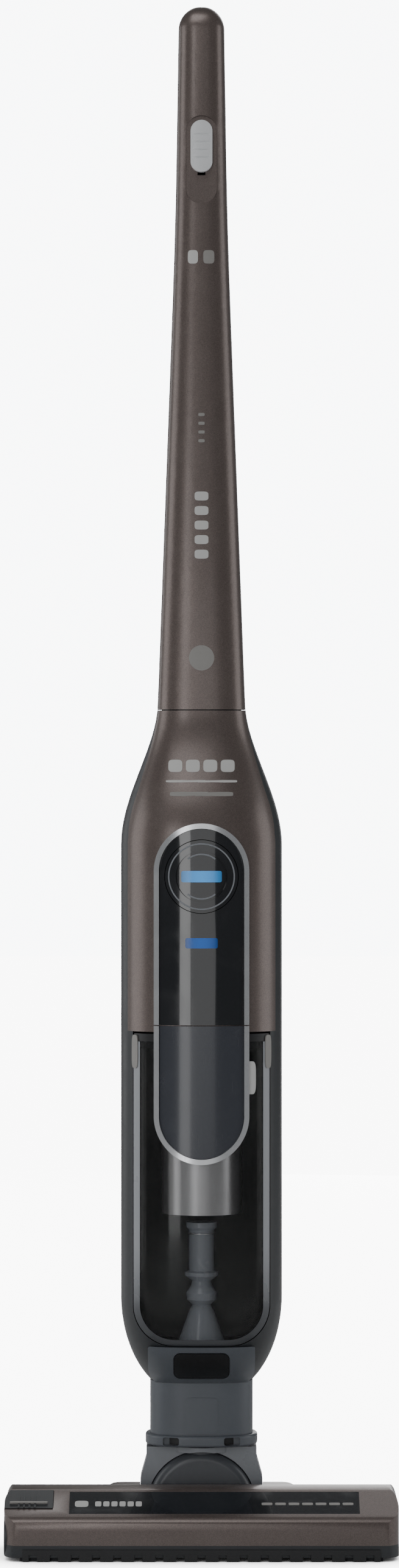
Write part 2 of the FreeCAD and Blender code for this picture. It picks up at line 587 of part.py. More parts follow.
# ---- neck ---------------------------------------------------------------------------------------
def neck_fork():
    """Arch-shaped fork that hinges in the head and carries the swivel."""
    low, high, top = 46.0, 41.5, SWIVEL_Z - 1.0
    arch = [(-low, 15, PIVOT_Z), (-low, 15, 50), (-high, 15, 66), (-high, 15, top), (high, 15, top),
            (high, 15, 66), (low, 15, 50), (low, 15, PIVOT_Z)]
    fork = prism_from(arch, (0, 30, 0))
    fork = joined(fork, cylinder(15.0, (-low, PIVOT_Y, PIVOT_Z), (1, 0, 0), 2 * low))
    fork = fork.fuse(cylinder(24.0, (0, PIVOT_Y, top - 4), (0, 0, 1), 4))
    fork = fork.cut(cylinder(DOME_R + 0.6, (0, 0, PIVOT_Z), (0, 1, 0), 100))
    fork = fork.cut(box(-DOME_R - 0.6, DOME_R + 0.6, 0, 60, 0, PIVOT_Z))
    fork = fork.cut(cylinder(SPIGOT_R, (0, PIVOT_Y, 60), (0, 0, 1), 20))
    return fork.cut(cylinder(HINGE_PIN_R + RUNNING, (-60, PIVOT_Y, PIVOT_Z), (1, 0, 0), 120))


def neck_elbow():
    """Air elbow: a round barrel in the head, a domed shield above it and a spigot on top."""
    shield = cylinder(DOME_R, (0, 10, PIVOT_Z), (0, 1, 0), 40)
    shield = shield.makeFillet(7.0, [e for e in shield.Edges if e.Length > 150])
    shield = shield.cut(box(-60, 60, 0, 60, -20, PIVOT_Z))
    barrel = cylinder(21.5, (-DOME_R, PIVOT_Y, PIVOT_Z), (1, 0, 0), 2 * DOME_R)
    within = joined(cylinder(DOME_R, (0, 0, PIVOT_Z), (0, 1, 0), 60), box(-DOME_R, DOME_R, 0, 60, 0, PIVOT_Z))
    barrel = barrel.common(within)
    spigot = cylinder(SPIGOT_R, (0, PIVOT_Y, 50), (0, 0, 1), SPIGOT_TOP_Z - 50)
    elbow = joined(shield, barrel, spigot)
    elbow = elbow.cut(cylinder(AIRWAY_R, (0, PIVOT_Y, PIVOT_Z), (0, 0, 1), 80))
    elbow = elbow.cut(cylinder(AIRWAY_R - 3, (0, PIVOT_Y, PIVOT_Z), (0, -1, 0), 30))
    return elbow.cut(cylinder(HINGE_PIN_R + RUNNING, (-60, PIVOT_Y, PIVOT_Z), (1, 0, 0), 120)
                     .cut(box(-30, 30, 0, 60, 0, 60)))


def neck_tube():
    """Oval neck that turns on the spigot. The body stands on it."""
    collar = oval_column(NECK_HALF_W + COLLAR_GROW, NECK_HALF_D + COLLAR_GROW, SWIVEL_Z, COLLAR_TOP_Z)
    collar = rounded_edges(collar, 2.0, lambda p: True)
    column = oval_column(NECK_HALF_W, NECK_HALF_D, SWIVEL_Z + 2, NECK_TOP_Z - GAP)
    inside = oval_column(NECK_HALF_W - 3, NECK_HALF_D - 3, SWIVEL_Z + 8, NECK_TOP_Z + 1)
    hub = cylinder(22.0, (0, PIVOT_Y, SWIVEL_Z + 1), (0, 0, 1), 24)
    tube = joined(joined(collar, column).cut(inside), hub)
    tube = tube.cut(cylinder(SPIGOT_R + RUNNING, (0, PIVOT_Y, SWIVEL_Z - 1), (0, 0, 1), 40))
    for x in (-23.0, 23.0):
        pocket = box(x - 6.0, x + 6.0, -10, 8.5, SWIVEL_Z + 1.2, COLLAR_TOP_Z - 1.2)
        tube = tube.cut(rounded_edges(pocket, 1.5, lambda p: abs(p.y + 0.75) < 1))
    return tube


def duct_rod(radius):
    route = [(0, NECK_Y, SPIGOT_TOP_Z + 2.5), (0, NECK_Y, 108), (0, PORT_Y, 142),
             (0, PORT_Y, CONTAINER_Z0 - BAY_GAP - BAY_WALL)]
    return rod_along(route, radius)


def inlet_duct():
    """Dirty air duct from the swivel up to the floor of the container's bay."""
    flange = cylinder(17.0, (0, NECK_Y, SPIGOT_TOP_Z + 2.5), (0, 0, 1), 2.5)
    return joined(duct_rod(DUCT_R), flange).cut(duct_rod(DUCT_R - DUCT_WALL))


def make_neck():
    keep("neck_fork", neck_fork())
    keep("neck_elbow", neck_elbow())
    keep("neck_tube", neck_tube())
    keep("inlet_duct", inlet_duct())


# ---- body ---------------------------------------------------------------------------------------
RELEASE_HALF_W, RELEASE_Z0, RELEASE_Z1, RELEASE_CORNER = 20.5, 127.8, 149.6, 5.0
SHIELD_HALF_W, SHIELD_Z0, SHIELD_Z1 = 40.0, 117.5, 154.5
LATCH_HALF_W, BATTERY_LATCH_Z0, BATTERY_LATCH_Z1 = 10.5, 369.6, 381.4
HANDLE_SCREW_Z = 612.0
BAY_HALF_W, BAY_Z0 = CONTAINER_HALF_W + BAY_GAP, CONTAINER_Z0 - BAY_GAP
BAY_BACK_Y = CONTAINER_BACK_Y + 1.0


def bay_space(grow=0.0, back_y=BAY_BACK_Y):
    """The space that the container slides into, open at the front."""
    return upright_slab(BAY_HALF_W + grow, BAY_Z0 - grow, FRONT_SHELL_Z + 2.5,
                        CONTAINER_CORNER_R + grow, 1.0, -FAR, back_y)


def battery_space(grow=0.0):
    return box(-BATTERY_HALF_W - grow, BATTERY_HALF_W + grow, BATTERY_FRONT_Y - grow, FAR,
               BATTERY_Z0 - grow, BATTERY_Z1 + grow)


def release_window(grow=0.0):
    return upright_slab(RELEASE_HALF_W + grow, RELEASE_Z0 - grow, RELEASE_Z1 + grow,
                        RELEASE_CORNER + grow, RELEASE_CORNER + grow, -FAR, NECK_Y)


def battery_latch_window(grow=0.0):
    return upright_slab(LATCH_HALF_W + grow, BATTERY_LATCH_Z0 - grow, BATTERY_LATCH_Z1 + grow,
                        3.0 + grow, 3.0 + grow, 40.0, FAR)


def vent_slots():
    """Rows of exhaust slots through both sides of the housing."""
    slots = []
    for i in range(VENT_COUNT):
        z = VENT_Z + i * VENT_PITCH
        slots.append(box(-FAR, FAR, 12.0 + 0.4 * i, 46.0 - 0.8 * i, z, z + VENT_HEIGHT))
    return joined(*slots).cut(box(-40, 40, -FAR, FAR, 0, TOTAL_HEIGHT))


def rear_housing():
    """Black rear moulding. Below the front shell its side walls hold the dust container."""
    housing = BODY.cut(BODY_INSIDE).cut(FRONT_SIDE).cut(bay_space())
    liner = battery_space(2.2).common(envelope(BATTERY_Z0 - 10, BATTERY_Z1 + 10, 1.0))
    housing = housing.fuse(liner).cut(battery_space(0.6)).cut(release_window(GAP)).cut(battery_latch_window(GAP))
    housing = housing.cut(vent_slots())
    housing = housing.cut(cylinder(17.0, (0, 24, NECK_TOP_Z - 2), (0, 0, 1), 8))
    housing = housing.cut(cylinder(7.2, (0, 40, SOCKET_Z), (0, 1, 0), 40))
    housing = housing.cut(cylinder(2.3, (0, 20, HANDLE_SCREW_Z), (0, 1, 0), 40))
    return housing.cut(cylinder(4.7, (0, 38.6, HANDLE_SCREW_Z), (0, 1, 0), 20))


def container_bay():
    """Inner frame: the container's bay with the motor's deck on top of it."""
    walls = bay_space(BAY_WALL, BAY_BACK_Y + BAY_WALL).cut(bay_space())
    walls = walls.common(envelope(NECK_TOP_Z + HOUSING_WALL, FRONT_SHELL_Z + 3, HOUSING_WALL))
    walls = walls.cut(cylinder(PORT_R, (0, PORT_Y, BAY_Z0 - 10), (0, 0, 1), 20))
    return joined(walls, motor_deck())


def front_shell():
    """Coloured front moulding from the container up to the handle."""
    skin = envelope(FRONT_SHELL_Z, SEAM_Z - GAP)
    shell = skin.common(FRONT_SIDE).cut(envelope(FRONT_SHELL_Z - 2, SEAM_Z + 2, SHELL_WALL))
    shell = shell.cut(cylinder(BUTTON_R + 1.2, (0, -FAR, BUTTON_Z), (0, 1, 0), FAR))
    return shell.cut(upright_slab(SENSOR_BAR[0] + 2, SENSOR_Z - 7, SENSOR_Z + 7, 2, 2, -FAR, 0))


def coupling_cover():
    """Raised shield on the front of the chin, round the release button."""
    field = upright_slab(SHIELD_HALF_W, SHIELD_Z0, SHIELD_Z1, 18.0, 2.0, -FAR, 16.0)
    raised = field.common(envelope(SHIELD_Z0 - 2, SHIELD_Z1 + 4, -2.0))
    raised = raised.cut(envelope(SHIELD_Z0 - 2, SHIELD_Z1 + 4))
    raised = raised.cut(oval_column(NECK_HALF_W, NECK_HALF_D, SHIELD_Z0 - 5, NECK_TOP_Z + 1))
    return raised.cut(release_window(GAP))


def nozzle_release():
    """Push button that frees the body from the neck."""
    button = release_window().common(envelope(SHIELD_Z0 - 2, SHIELD_Z1 + 4, -3.0))
    return button.cut(envelope(SHIELD_Z0 - 2, SHIELD_Z1 + 4, 5.0))


def motor_deck():
    """Plate that carries the motor, with a ring round the container's air outlet."""
    deck = envelope(FRONT_SHELL_Z + 2.5, MOTOR_Z0 - 0.4, HOUSING_WALL)
    ring = cylinder(21.0, (0, CYCLONE_Y, CONTAINER_Z1 + 1.6), (0, 0, 1), 4)
    ring = ring.cut(cylinder(18.0, (0, CYCLONE_Y, CONTAINER_Z1), (0, 0, 1), 4.6))
    return joined(deck, ring).cut(cylinder(12.0, (0, INTAKE_Y, 380), (0, 0, 1), 30))


def motor_case():
    """Round case of the suction motor with slots at its top for the outgoing air."""
    height = MOTOR_Z1 - MOTOR_Z0
    case = cylinder(MOTOR_R, (0, MOTOR_Y, MOTOR_Z0), (0, 0, 1), height)
    case = rounded_edges(case, 4.0, lambda p: p.z > MOTOR_Z1 - 1)
    case = case.cut(cylinder(MOTOR_R - 2, (0, MOTOR_Y, MOTOR_Z0 + 2), (0, 0, 1), height - 4))
    case = case.cut(cylinder(12.0, (0, INTAKE_Y, MOTOR_Z0 - 1), (0, 0, 1), 5))
    for i in range(8):
        slot = box(-4, 4, MOTOR_Y + 20, MOTOR_Y + 50, MOTOR_Z1 - 22, MOTOR_Z1 - 8)
        slot.rotate(V(0, MOTOR_Y, 0), V(0, 0, 1), 45.0 * i + 22.5)
        case = case.cut(slot)
    return case


def motor_can():
    """Laminated stator can with its brush holders."""
    can = cylinder(22.0, (0, MOTOR_Y, 424), (0, 0, 1), 56)
    holders = joined(*[box(x, x + 8, MOTOR_Y - 4, MOTOR_Y + 4, 460, 476) for x in (-28, 20)])
    plate = cylinder(MOTOR_R - 2.4, (0, MOTOR_Y, 420), (0, 0, 1), 4)
    for i in range(6):
        turn = math.radians(60 * i)
        place = (28 * math.cos(turn), MOTOR_Y + 28 * math.sin(turn), 419)
        plate = plate.cut(cylinder(4.0, place, (0, 0, 1), 6))
    return joined(can, holders, plate).cut(cylinder(2.5 + RUNNING, (0, MOTOR_Y, 400), (0, 0, 1), 90))


def impeller():
    """Centrifugal fan wheel with straight blades on a disc."""
    wheel = joined(cylinder(31.0, (0, MOTOR_Y, 413.5), (0, 0, 1), 2),
                   cylinder(7.0, (0, MOTOR_Y, 404), (0, 0, 1), 11))
    for i in range(9):
        blade = box(-0.7, 0.7, MOTOR_Y + 5, MOTOR_Y + 30, 403, 414)
        blade.rotate(V(0, MOTOR_Y + 14, 0), V(0, 0, 1), 28)
        blade.rotate(V(0, MOTOR_Y, 0), V(0, 0, 1), 40.0 * i)
        wheel = wheel.fuse(blade)
    return wheel.removeSplitter().cut(cylinder(2.5, (0, MOTOR_Y, 400), (0, 0, 1), 20))


def exhaust_filters():
    """Foam pads behind the exhaust slots."""
    band = envelope(404, 484, HOUSING_WALL + 0.4).cut(envelope(400, 488, HOUSING_WALL + 5.4))
    side = box(44.5, FAR, 9, 48, 404, 484)
    return band.common(joined(side, side.mirror(V(0, 0, 0), V(1, 0, 0))))


def control_board():
    board = box(-24, 24, 10, 11.6, 506, 596)
    chips = [box(-14, -2, 6.4, 10, 560, 572), box(6, 16, 4, 10, 540, 556), box(-18, 14, 11.6, 22, 512, 528)]
    return joined(board, *chips)


def charge_socket():
    rear = outline(SOCKET_Z)[1] + outline(SOCKET_Z)[2] - 0.6
    barrel = cylinder(7.0, (0, rear - 14, SOCKET_Z), (0, 1, 0), 14)
    barrel = joined(barrel, cylinder(8.6, (0, rear - 8, SOCKET_Z), (0, 1, 0), 2.6))
    return barrel.cut(cylinder(SOCKET_BORE_R, (0, rear - SOCKET_BORE_LENGTH, SOCKET_Z), (0, 1, 0), 30))


def battery_case():
    case = BODY.common(box(-BATTERY_HALF_W, BATTERY_HALF_W, BATTERY_FRONT_Y, FAR, BATTERY_Z0, BATTERY_Z1))
    case = rounded_edges(case, 2.0, lambda p: abs(p.y - BATTERY_FRONT_Y) < 0.1)
    inside = envelope(BATTERY_Z0 + 2, BATTERY_Z1 - 2, 2.0)
    return case.cut(inside.common(box(-35, 35, BATTERY_FRONT_Y + 1.8, FAR, 0, TOTAL_HEIGHT)))


def battery_cells():
    pitch = (BATTERY_Z1 - BATTERY_Z0 - 6.0) / CELL_COUNT
    cells = []
    for i in range(CELL_COUNT):
        z = BATTERY_Z0 + 3.0 + pitch * (i + 0.5)
        place = (-CELL_LENGTH / 2, BATTERY_FRONT_Y + 1.9 + CELL_R, z)
        cells.append(cylinder(CELL_R, place, (1, 0, 0), CELL_LENGTH))
    return Part.makeCompound(cells)


def battery_latch():
    key = battery_latch_window().common(envelope(BATTERY_LATCH_Z0 - 8, BATTERY_LATCH_Z1 + 8, -1.0))
    return key.cut(envelope(BATTERY_LATCH_Z0 - 8, BATTERY_LATCH_Z1 + 8, 8.0))


def make_body():
    keep("rear_housing", rear_housing())
    keep("container_bay", container_bay())
    keep("front_shell", front_shell())
    keep("coupling_cover", coupling_cover())
    keep("nozzle_release", nozzle_release())
    keep("motor_case", motor_case())
    keep("motor_can", motor_can())
    keep("motor_shaft", cylinder(2.5, (0, MOTOR_Y, 402), (0, 0, 1), 84))
    keep("impeller", impeller())
    keep("exhaust_filters", exhaust_filters())
    keep("control_board", control_board())
    keep("charge_socket", charge_socket())
    keep("battery_case", battery_case())
    keep("battery_cells", battery_cells())
    keep("battery_latch", battery_latch())


# ---- oval panel ---------------------------------------------------------------------------------
def above_split(shape):
    return shape.common(box(-FAR, FAR, -FAR, FAR, PANEL_SPLIT_Z + GAP, TOTAL_HEIGHT))


def below_split(shape):
    return shape.common(box(-FAR, FAR, -FAR, FAR, 0, PANEL_SPLIT_Z - GAP))


def bar_slab(half_w, half_h, z, grow=0.0):
    return stadium_like(half_w + grow, z - half_h - grow, z + half_h + grow)


def stadium_like(half_w, z0, z1):
    corner = min(half_w, (z1 - z0) / 2.0) * 0.35
    return upright_slab(half_w, z0, z1, corner, corner, -FAR, 0)


def panel_form():
    return stadium_slab(PANEL_HALF_W, PANEL_Z0 + BEZEL_BAND + 0.3, PANEL_Z1 - BEZEL_BAND - 0.3,
                        -FAR, 0).common(bulged(PANEL_FRONT_Y, PANEL_BULGE_R))


def bezel_form():
    ring = stadium_slab(BEZEL_HALF_W, PANEL_Z0, PANEL_Z1, -FAR, 0)
    ring = ring.cut(stadium_slab(BEZEL_HALF_W - BEZEL_BAND, PANEL_Z0 + BEZEL_BAND,
                                 PANEL_Z1 - BEZEL_BAND, -FAR, 0))
    return ring.common(bulged(PANEL_FRONT_Y - 1.2, PANEL_BULGE_R + 3.0))


def on_container(shape):
    """Trims the back of a lower panel piece to the container, and clears the front shell."""
    shape = shape.cut(envelope(PANEL_Z0 - 10, CONTAINER_Z1, BAY_GAP))
    return shape.cut(envelope(CONTAINER_Z1, PANEL_SPLIT_Z + 6, -0.5))


def release_button():
    """Round push button with a ring groove and a stem."""
    disc = cylinder(BUTTON_R, (0, -FAR, BUTTON_Z), (0, 1, 0), FAR - 43.0)
    disc = disc.common(bulged(PANEL_FRONT_Y - 0.8, PANEL_BULGE_R))
    groove = cylinder(19.0, (0, -FAR, BUTTON_Z), (0, 1, 0), FAR)
    groove = groove.cut(cylinder(17.2, (0, -FAR, BUTTON_Z), (0, 1, 0), FAR))
    groove = groove.cut(bulged(PANEL_FRONT_Y + 0.4, PANEL_BULGE_R))
    stem = cylinder(5.0, (0, -44, BUTTON_Z + 8), (0, 1, 0), 8)
    return joined(disc, stem).cut(groove).cut(light_bar(*BUTTON_BAR, BUTTON_Z, 1.4))


def light_bar(half_w, half_h, z, proud):
    """A window strip set into the bulged front, standing a little proud of it."""
    front = PANEL_FRONT_Y - proud
    return bar_slab(half_w, half_h, z).common(bulged(front, PANEL_BULGE_R)).cut(
        bulged(PANEL_FRONT_Y + 2.0, PANEL_BULGE_R))


def make_panel():
    upper = above_split(panel_form()).cut(BODY)
    upper = upper.cut(cylinder(BUTTON_R + 0.5, (0, -FAR, BUTTON_Z), (0, 1, 0), FAR))
    keep("panel_upper", upper.cut(light_bar(*SENSOR_BAR, SENSOR_Z, 0.3)))
    keep("bezel_upper", above_split(bezel_form()).cut(BODY))
    keep("panel_lower", on_container(below_split(panel_form())))
    keep("bezel_lower", on_container(below_split(bezel_form())))
    keep("release_button", release_button())
    keep("button_lens", light_bar(*BUTTON_BAR, BUTTON_Z, 1.1))
    keep("sensor_lens", light_bar(*SENSOR_BAR, SENSOR_Z, 0.3))


# ---- dust container -----------------------------------------------------------------------------
def container_form(inset=0.0, z0=CONTAINER_Z0, z1=LID_Z):
    """The container's solid, moved in by a wall. Its front follows the body's outline."""
    slab = upright_slab(CONTAINER_HALF_W - inset, z0, CONTAINER_Z1 + 20, CONTAINER_CORNER_R - inset, 1.0,
                        -FAR, CONTAINER_BACK_Y - inset)
    skin = envelope(CONTAINER_Z0 - 20, CONTAINER_Z1 + 10, BAY_GAP + inset)
    return slab.common(skin).common(box(-FAR, FAR, -FAR, FAR, 0, z1))


def container_shell():
    cup = container_form().cut(container_form(CONTAINER_WALL, CONTAINER_Z0 + CONTAINER_WALL, LID_Z + 10))
    return cup.cut(cylinder(PORT_R, (0, PORT_Y, 140), (0, 0, 1), 30))


def container_frame():
    """U-shaped frame on the front edge of the container."""
    frame = container_form(-0.3, CONTAINER_Z0 - 0.3, CONTAINER_Z1)
    inner = upright_slab(CONTAINER_HALF_W - 4.6, CONTAINER_Z0 + 4.6, FAR * 2, CONTAINER_CORNER_R - 4.6, 1.0)
    frame = frame.cut(inner).cut(container_form())
    return frame.common(box(-FAR, FAR, -FAR, 0, 0, LID_Z))


def container_lid():
    """Lid that carries the cyclone and the filter, with the air outlet."""
    lid = container_form(0.0, CONTAINER_Z0, CONTAINER_Z1).cut(box(-FAR, FAR, -FAR, FAR, 0, LID_Z + 0.2))
    skirt = container_form(CONTAINER_WALL + 0.3, CONTAINER_Z0, LID_Z + 1)
    skirt = skirt.cut(container_form(CONTAINER_WALL + 2.0, CONTAINER_Z0, LID_Z + 2))
    skirt = skirt.cut(box(-FAR, FAR, -FAR, FAR, 0, LID_Z - 5))
    lid = joined(lid, skirt)
    return lid.cut(cylinder(18.0, (0, CYCLONE_Y, 370), (0, 0, 1), 30))


def cyclone_tube():
    tube = cylinder(CYCLONE_R, (0, CYCLONE_Y, CYCLONE_Z), (0, 0, 1), LID_Z - 0.2 - CYCLONE_Z)
    return tube.cut(cylinder(CYCLONE_R - 1.5, (0, CYCLONE_Y, CYCLONE_Z - 1), (0, 0, 1), 200))


def filter_cartridge():
    """Pleated cartridge inside the cyclone tube."""
    pleats, outer, inner = 24, 26.0, 22.0
    ring = []
    for i in range(2 * pleats):
        turn = math.pi * i / pleats
        radius = outer if i % 2 == 0 else inner
        ring.append((radius * math.cos(turn), CYCLONE_Y + radius * math.sin(turn), 268.0))
    body = prism_from(ring, (0, 0, 104))
    return body.cut(cylinder(17.0, (0, CYCLONE_Y, 260), (0, 0, 1), 130))


def dust_column():
    """Central column with a collar and a rounded boss, from the floor up into the cyclone."""
    base_z = CONTAINER_Z0 + CONTAINER_WALL
    profile = [(0, base_z), (17, base_z), (9, 180), (7, 184), (11, 188), (11.5, 193), (8, 198), (7, 202),
               (12.5, 206), (12.5, 208.5), (9.4, 209.5), (9.4, 240), (11.5, 242), (11.5, 246), (0, 246)]
    loop = Part.makePolygon([V(r, CYCLONE_Y, z) for r, z in profile + profile[:1]])
    column = Part.Face(loop).revolve(V(0, CYCLONE_Y, 0), V(0, 0, 1), 360)
    return column.cut(cylinder(PORT_R + 1, (0, PORT_Y, 150), (0, 0, 1), 60))


def lid_seal():
    """Rubber ring between the lid's outlet and the motor's deck."""
    ring = cylinder(21.0, (0, CYCLONE_Y, CONTAINER_Z1), (0, 0, 1), 1.2)
    return ring.cut(cylinder(18.0, (0, CYCLONE_Y, CONTAINER_Z1 - 1), (0, 0, 1), 5))


def make_container():
    keep("container_shell", container_shell())
    keep("container_frame", container_frame())
    keep("container_lid", container_lid())
    keep("cyclone_tube", cyclone_tube())
    keep("filter_cartridge", filter_cartridge())
    keep("dust_column", dust_column())
    keep("lid_seal", lid_seal())


# ---- handle -------------------------------------------------------------------------------------
GRIP_HALF_W, GRIP_Z0, GRIP_Z1 = 10.5, 950.0, 1130.0


def front_y(z):
    _half_w, middle_y, half_d = outline(z)
    return middle_y - half_d


SWITCH_LEAN = math.degrees(math.atan2(front_y(SWITCH_Z + 30) - front_y(SWITCH_Z - 30), 60.0))


def at_switch(shape):
    """Places a piece drawn about the switch's centre, with its face towards -Y, on the handle."""
    shape = shape.copy()
    shape.rotate(V(0, 0, 0), V(1, 0, 0), -SWITCH_LEAN)
    shape.translate(V(0, front_y(SWITCH_Z), SWITCH_Z))
    return shape


def switch_pocket(grow):
    low = -SWITCH_LENGTH / 2 - SWITCH_TRAVEL - 10.0
    return stadium_slab(SWITCH_PLATE_HALF_W + grow, low - grow, SWITCH_LENGTH / 2 + 4.0 + grow, -20.0, 3.8 + grow)


def grip_field(grow=0.0):
    return stadium_slab(GRIP_HALF_W + grow, GRIP_Z0 - grow, GRIP_Z1 + grow, 58.0, FAR)


def handle_tenon():
    """Tube at the foot of the handle that plugs into the body."""
    tenon = envelope(596, SEAM_Z + 9, HOUSING_WALL + 0.3)
    flange = envelope(SEAM_Z + 3, SEAM_Z + 9, SHELL_WALL - 0.8)
    tenon = tenon.fuse(flange.cut(FRONT_SIDE)).cut(envelope(590, SEAM_Z + 10, HOUSING_WALL + 2.8))
    return tenon.cut(cylinder(2.3, (0, 0, HANDLE_SCREW_Z), (0, 1, 0), 80))


def make_handle():
    form, inside = handle_form(), handle_form(SHELL_WALL, SEAM_Z - 2)
    shell = form.cut(inside)
    front = shell.common(FRONT_SIDE)
    rear = shell.cut(FRONT_SIDE).cut(grip_field().cut(handle_form(1.2)))
    pocket = at_switch(switch_pocket(0.15))
    keep("handle_front", front.cut(pocket))
    keep("handle_rear", joined(rear, handle_tenon()))
    keep("grip_pad", grip_field(-0.15).common(handle_form(-0.8)).cut(handle_form(1.2)))

    slot = box(-3.0, 3.0, -10, 10, -8.0 - SWITCH_TRAVEL, 8.0)
    plate = switch_pocket(0.0).cut(box(-30, 30, -30, 0.8, -60, 60)).cut(slot)
    keep("switch_plate", at_switch(plate))
    cap = stadium_slab(SWITCH_HALF_W, -SWITCH_LENGTH / 2, SWITCH_LENGTH / 2, -3.0, 0.5)
    cap = cap.common(cylinder(30.0, (0, 27.0, -40), (0, 0, 1), 80))
    for z in (-9, -3, 3, 9):
        cap = cap.cut(cylinder(1.0, (-20, -3.2, z), (1, 0, 0), 40))
    stem = box(-2.6, 2.6, 0, 6.0, -7.0, 7.0)
    keep("power_slider", at_switch(joined(cap, stem)))

    screw = joined(cylinder(2.1, (0, 26, HANDLE_SCREW_Z), (0, 1, 0), 13), cylinder(4.2, (0, 38.8, HANDLE_SCREW_Z), (0, 1, 0), 2.6))
    keep("handle_screw", screw.cut(box(-3, 3, 40.4, 50, HANDLE_SCREW_Z - 0.6, HANDLE_SCREW_Z + 0.6)))
    route = [(0, handle_centre_y(z) + 3, z) for z in (1030, 940, 850, 760, 670)] + [(0, 18, 604)]
    keep("wiring_harness", rod_along(route, 2.2))


make_floor_head()
make_neck()
make_body()
make_panel()
make_container()
make_handle()
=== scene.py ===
# %% [markdown]
# # A cordless stick vacuum, from bare mechanics to finished product
#
# The mechanical model is already there: every moulding, wheel, button and motor as its own closed solid.
# In this lesson it gets its looks. We give each moulding the plastic, paint or rubber it is made of, add
# the fine pieces that are easier to compute than to machine (bristles, tyre treads, grip ribs, printed
# marks), and then light the result and look at it. Lengths are in metres, +Z is up and the front is -Y.

# %% Load the mechanical model
import math

import bpy
import numpy as np
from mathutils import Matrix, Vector


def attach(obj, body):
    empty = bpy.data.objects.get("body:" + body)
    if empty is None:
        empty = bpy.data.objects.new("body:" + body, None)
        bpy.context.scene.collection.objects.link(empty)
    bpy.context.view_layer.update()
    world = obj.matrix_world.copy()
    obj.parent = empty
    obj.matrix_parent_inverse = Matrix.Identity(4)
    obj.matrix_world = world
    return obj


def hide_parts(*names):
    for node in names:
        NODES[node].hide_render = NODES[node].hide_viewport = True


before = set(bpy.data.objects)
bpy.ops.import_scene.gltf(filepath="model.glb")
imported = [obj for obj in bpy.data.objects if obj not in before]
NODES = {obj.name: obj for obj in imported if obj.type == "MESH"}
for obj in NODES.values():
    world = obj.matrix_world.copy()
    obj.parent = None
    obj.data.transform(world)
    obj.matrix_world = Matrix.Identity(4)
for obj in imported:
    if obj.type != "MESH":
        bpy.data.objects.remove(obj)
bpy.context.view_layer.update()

# %% [markdown]
# ## Smooth shading for moulded parts
#
# The mouldings arrive as loose triangles. Shaded one by one they look like cut glass, so the triangles
# are welded at their corners and shaded smoothly. Where two faces meet at more than 35 degrees the real
# part has a crisp edge, and an Edge Split keeps it. Both are modifiers, so the meshes stay as they are.

# %% Weld and smooth every node
def smooth_by_angle(piece, degrees=35.0, weld=True):
    """Smooth shading everywhere except across edges sharper than the given angle."""
    mesh = piece.data
    mesh.polygons.foreach_set("use_smooth", np.ones(len(mesh.polygons), bool))
    if weld:
        modifier = piece.modifiers.new("weld corners", "WELD")
        modifier.merge_threshold = 2e-6
    modifier = piece.modifiers.new("crisp edges", "EDGE_SPLIT")
    modifier.split_angle = math.radians(degrees)


for piece in NODES.values():
    smooth_by_angle(piece)
print("smoothed", len(NODES), "nodes,", sum(len(n.data.polygons) for n in NODES.values()), "triangles")

# %% [markdown]
# ## Shader groups shared by several finishes
#
# No plastic is one flat colour. Its mould leaves a fine grain, the pigment is a little uneven, hands leave
# smudges and use leaves hairlines. Several materials need these, each in its own strength, so each effect
# is a node group with named inputs. A group only gives out a colour, a roughness or a height.

# %% Helper: a node group with named sockets
def new_group(name, inputs, outputs):
    """An empty shader group. Inputs are (name, kind, default), outputs are (name, kind)."""
    group = bpy.data.node_groups.new(name, "ShaderNodeTree")
    for label, kind, default in inputs:
        socket = group.interface.new_socket(name=label, in_out="INPUT", socket_type="NodeSocket" + kind)
        socket.default_value = default
    for label, kind in outputs:
        group.interface.new_socket(name=label, in_out="OUTPUT", socket_type="NodeSocket" + kind)
    start = group.nodes.new("NodeGroupInput")
    end = group.nodes.new("NodeGroupOutput")
    return group, start, end


def node(tree, kind, links=None, **settings):
    """Adds a node, sets its properties, and wires or fills its inputs by name or number."""
    made = tree.nodes.new(kind)
    for key, value in settings.items():
        setattr(made, key, value)
    for socket, value in (links or {}).items():
        if isinstance(value, bpy.types.NodeSocket):
            tree.links.new(value, made.inputs[socket])
        else:
            made.inputs[socket].default_value = value
    return made


def math_node(tree, operation, *values):
    return node(tree, "ShaderNodeMath", dict(enumerate(values)), operation=operation).outputs[0]


def mixed_colour(tree, blend, share, a, b):
    made = node(tree, "ShaderNodeMix", {0: share, 6: a, 7: b}, data_type="RGBA", blend_type=blend)
    return made.outputs[2]


print("group helpers ready")

# %% [markdown]
# ### Moulded skin
#
# Two noises do the work. A fine one is the spark-eroded grain of the mould and becomes a height. A coarse
# one shifts brightness and gloss by a few percent over several centimetres, as real pigment does.

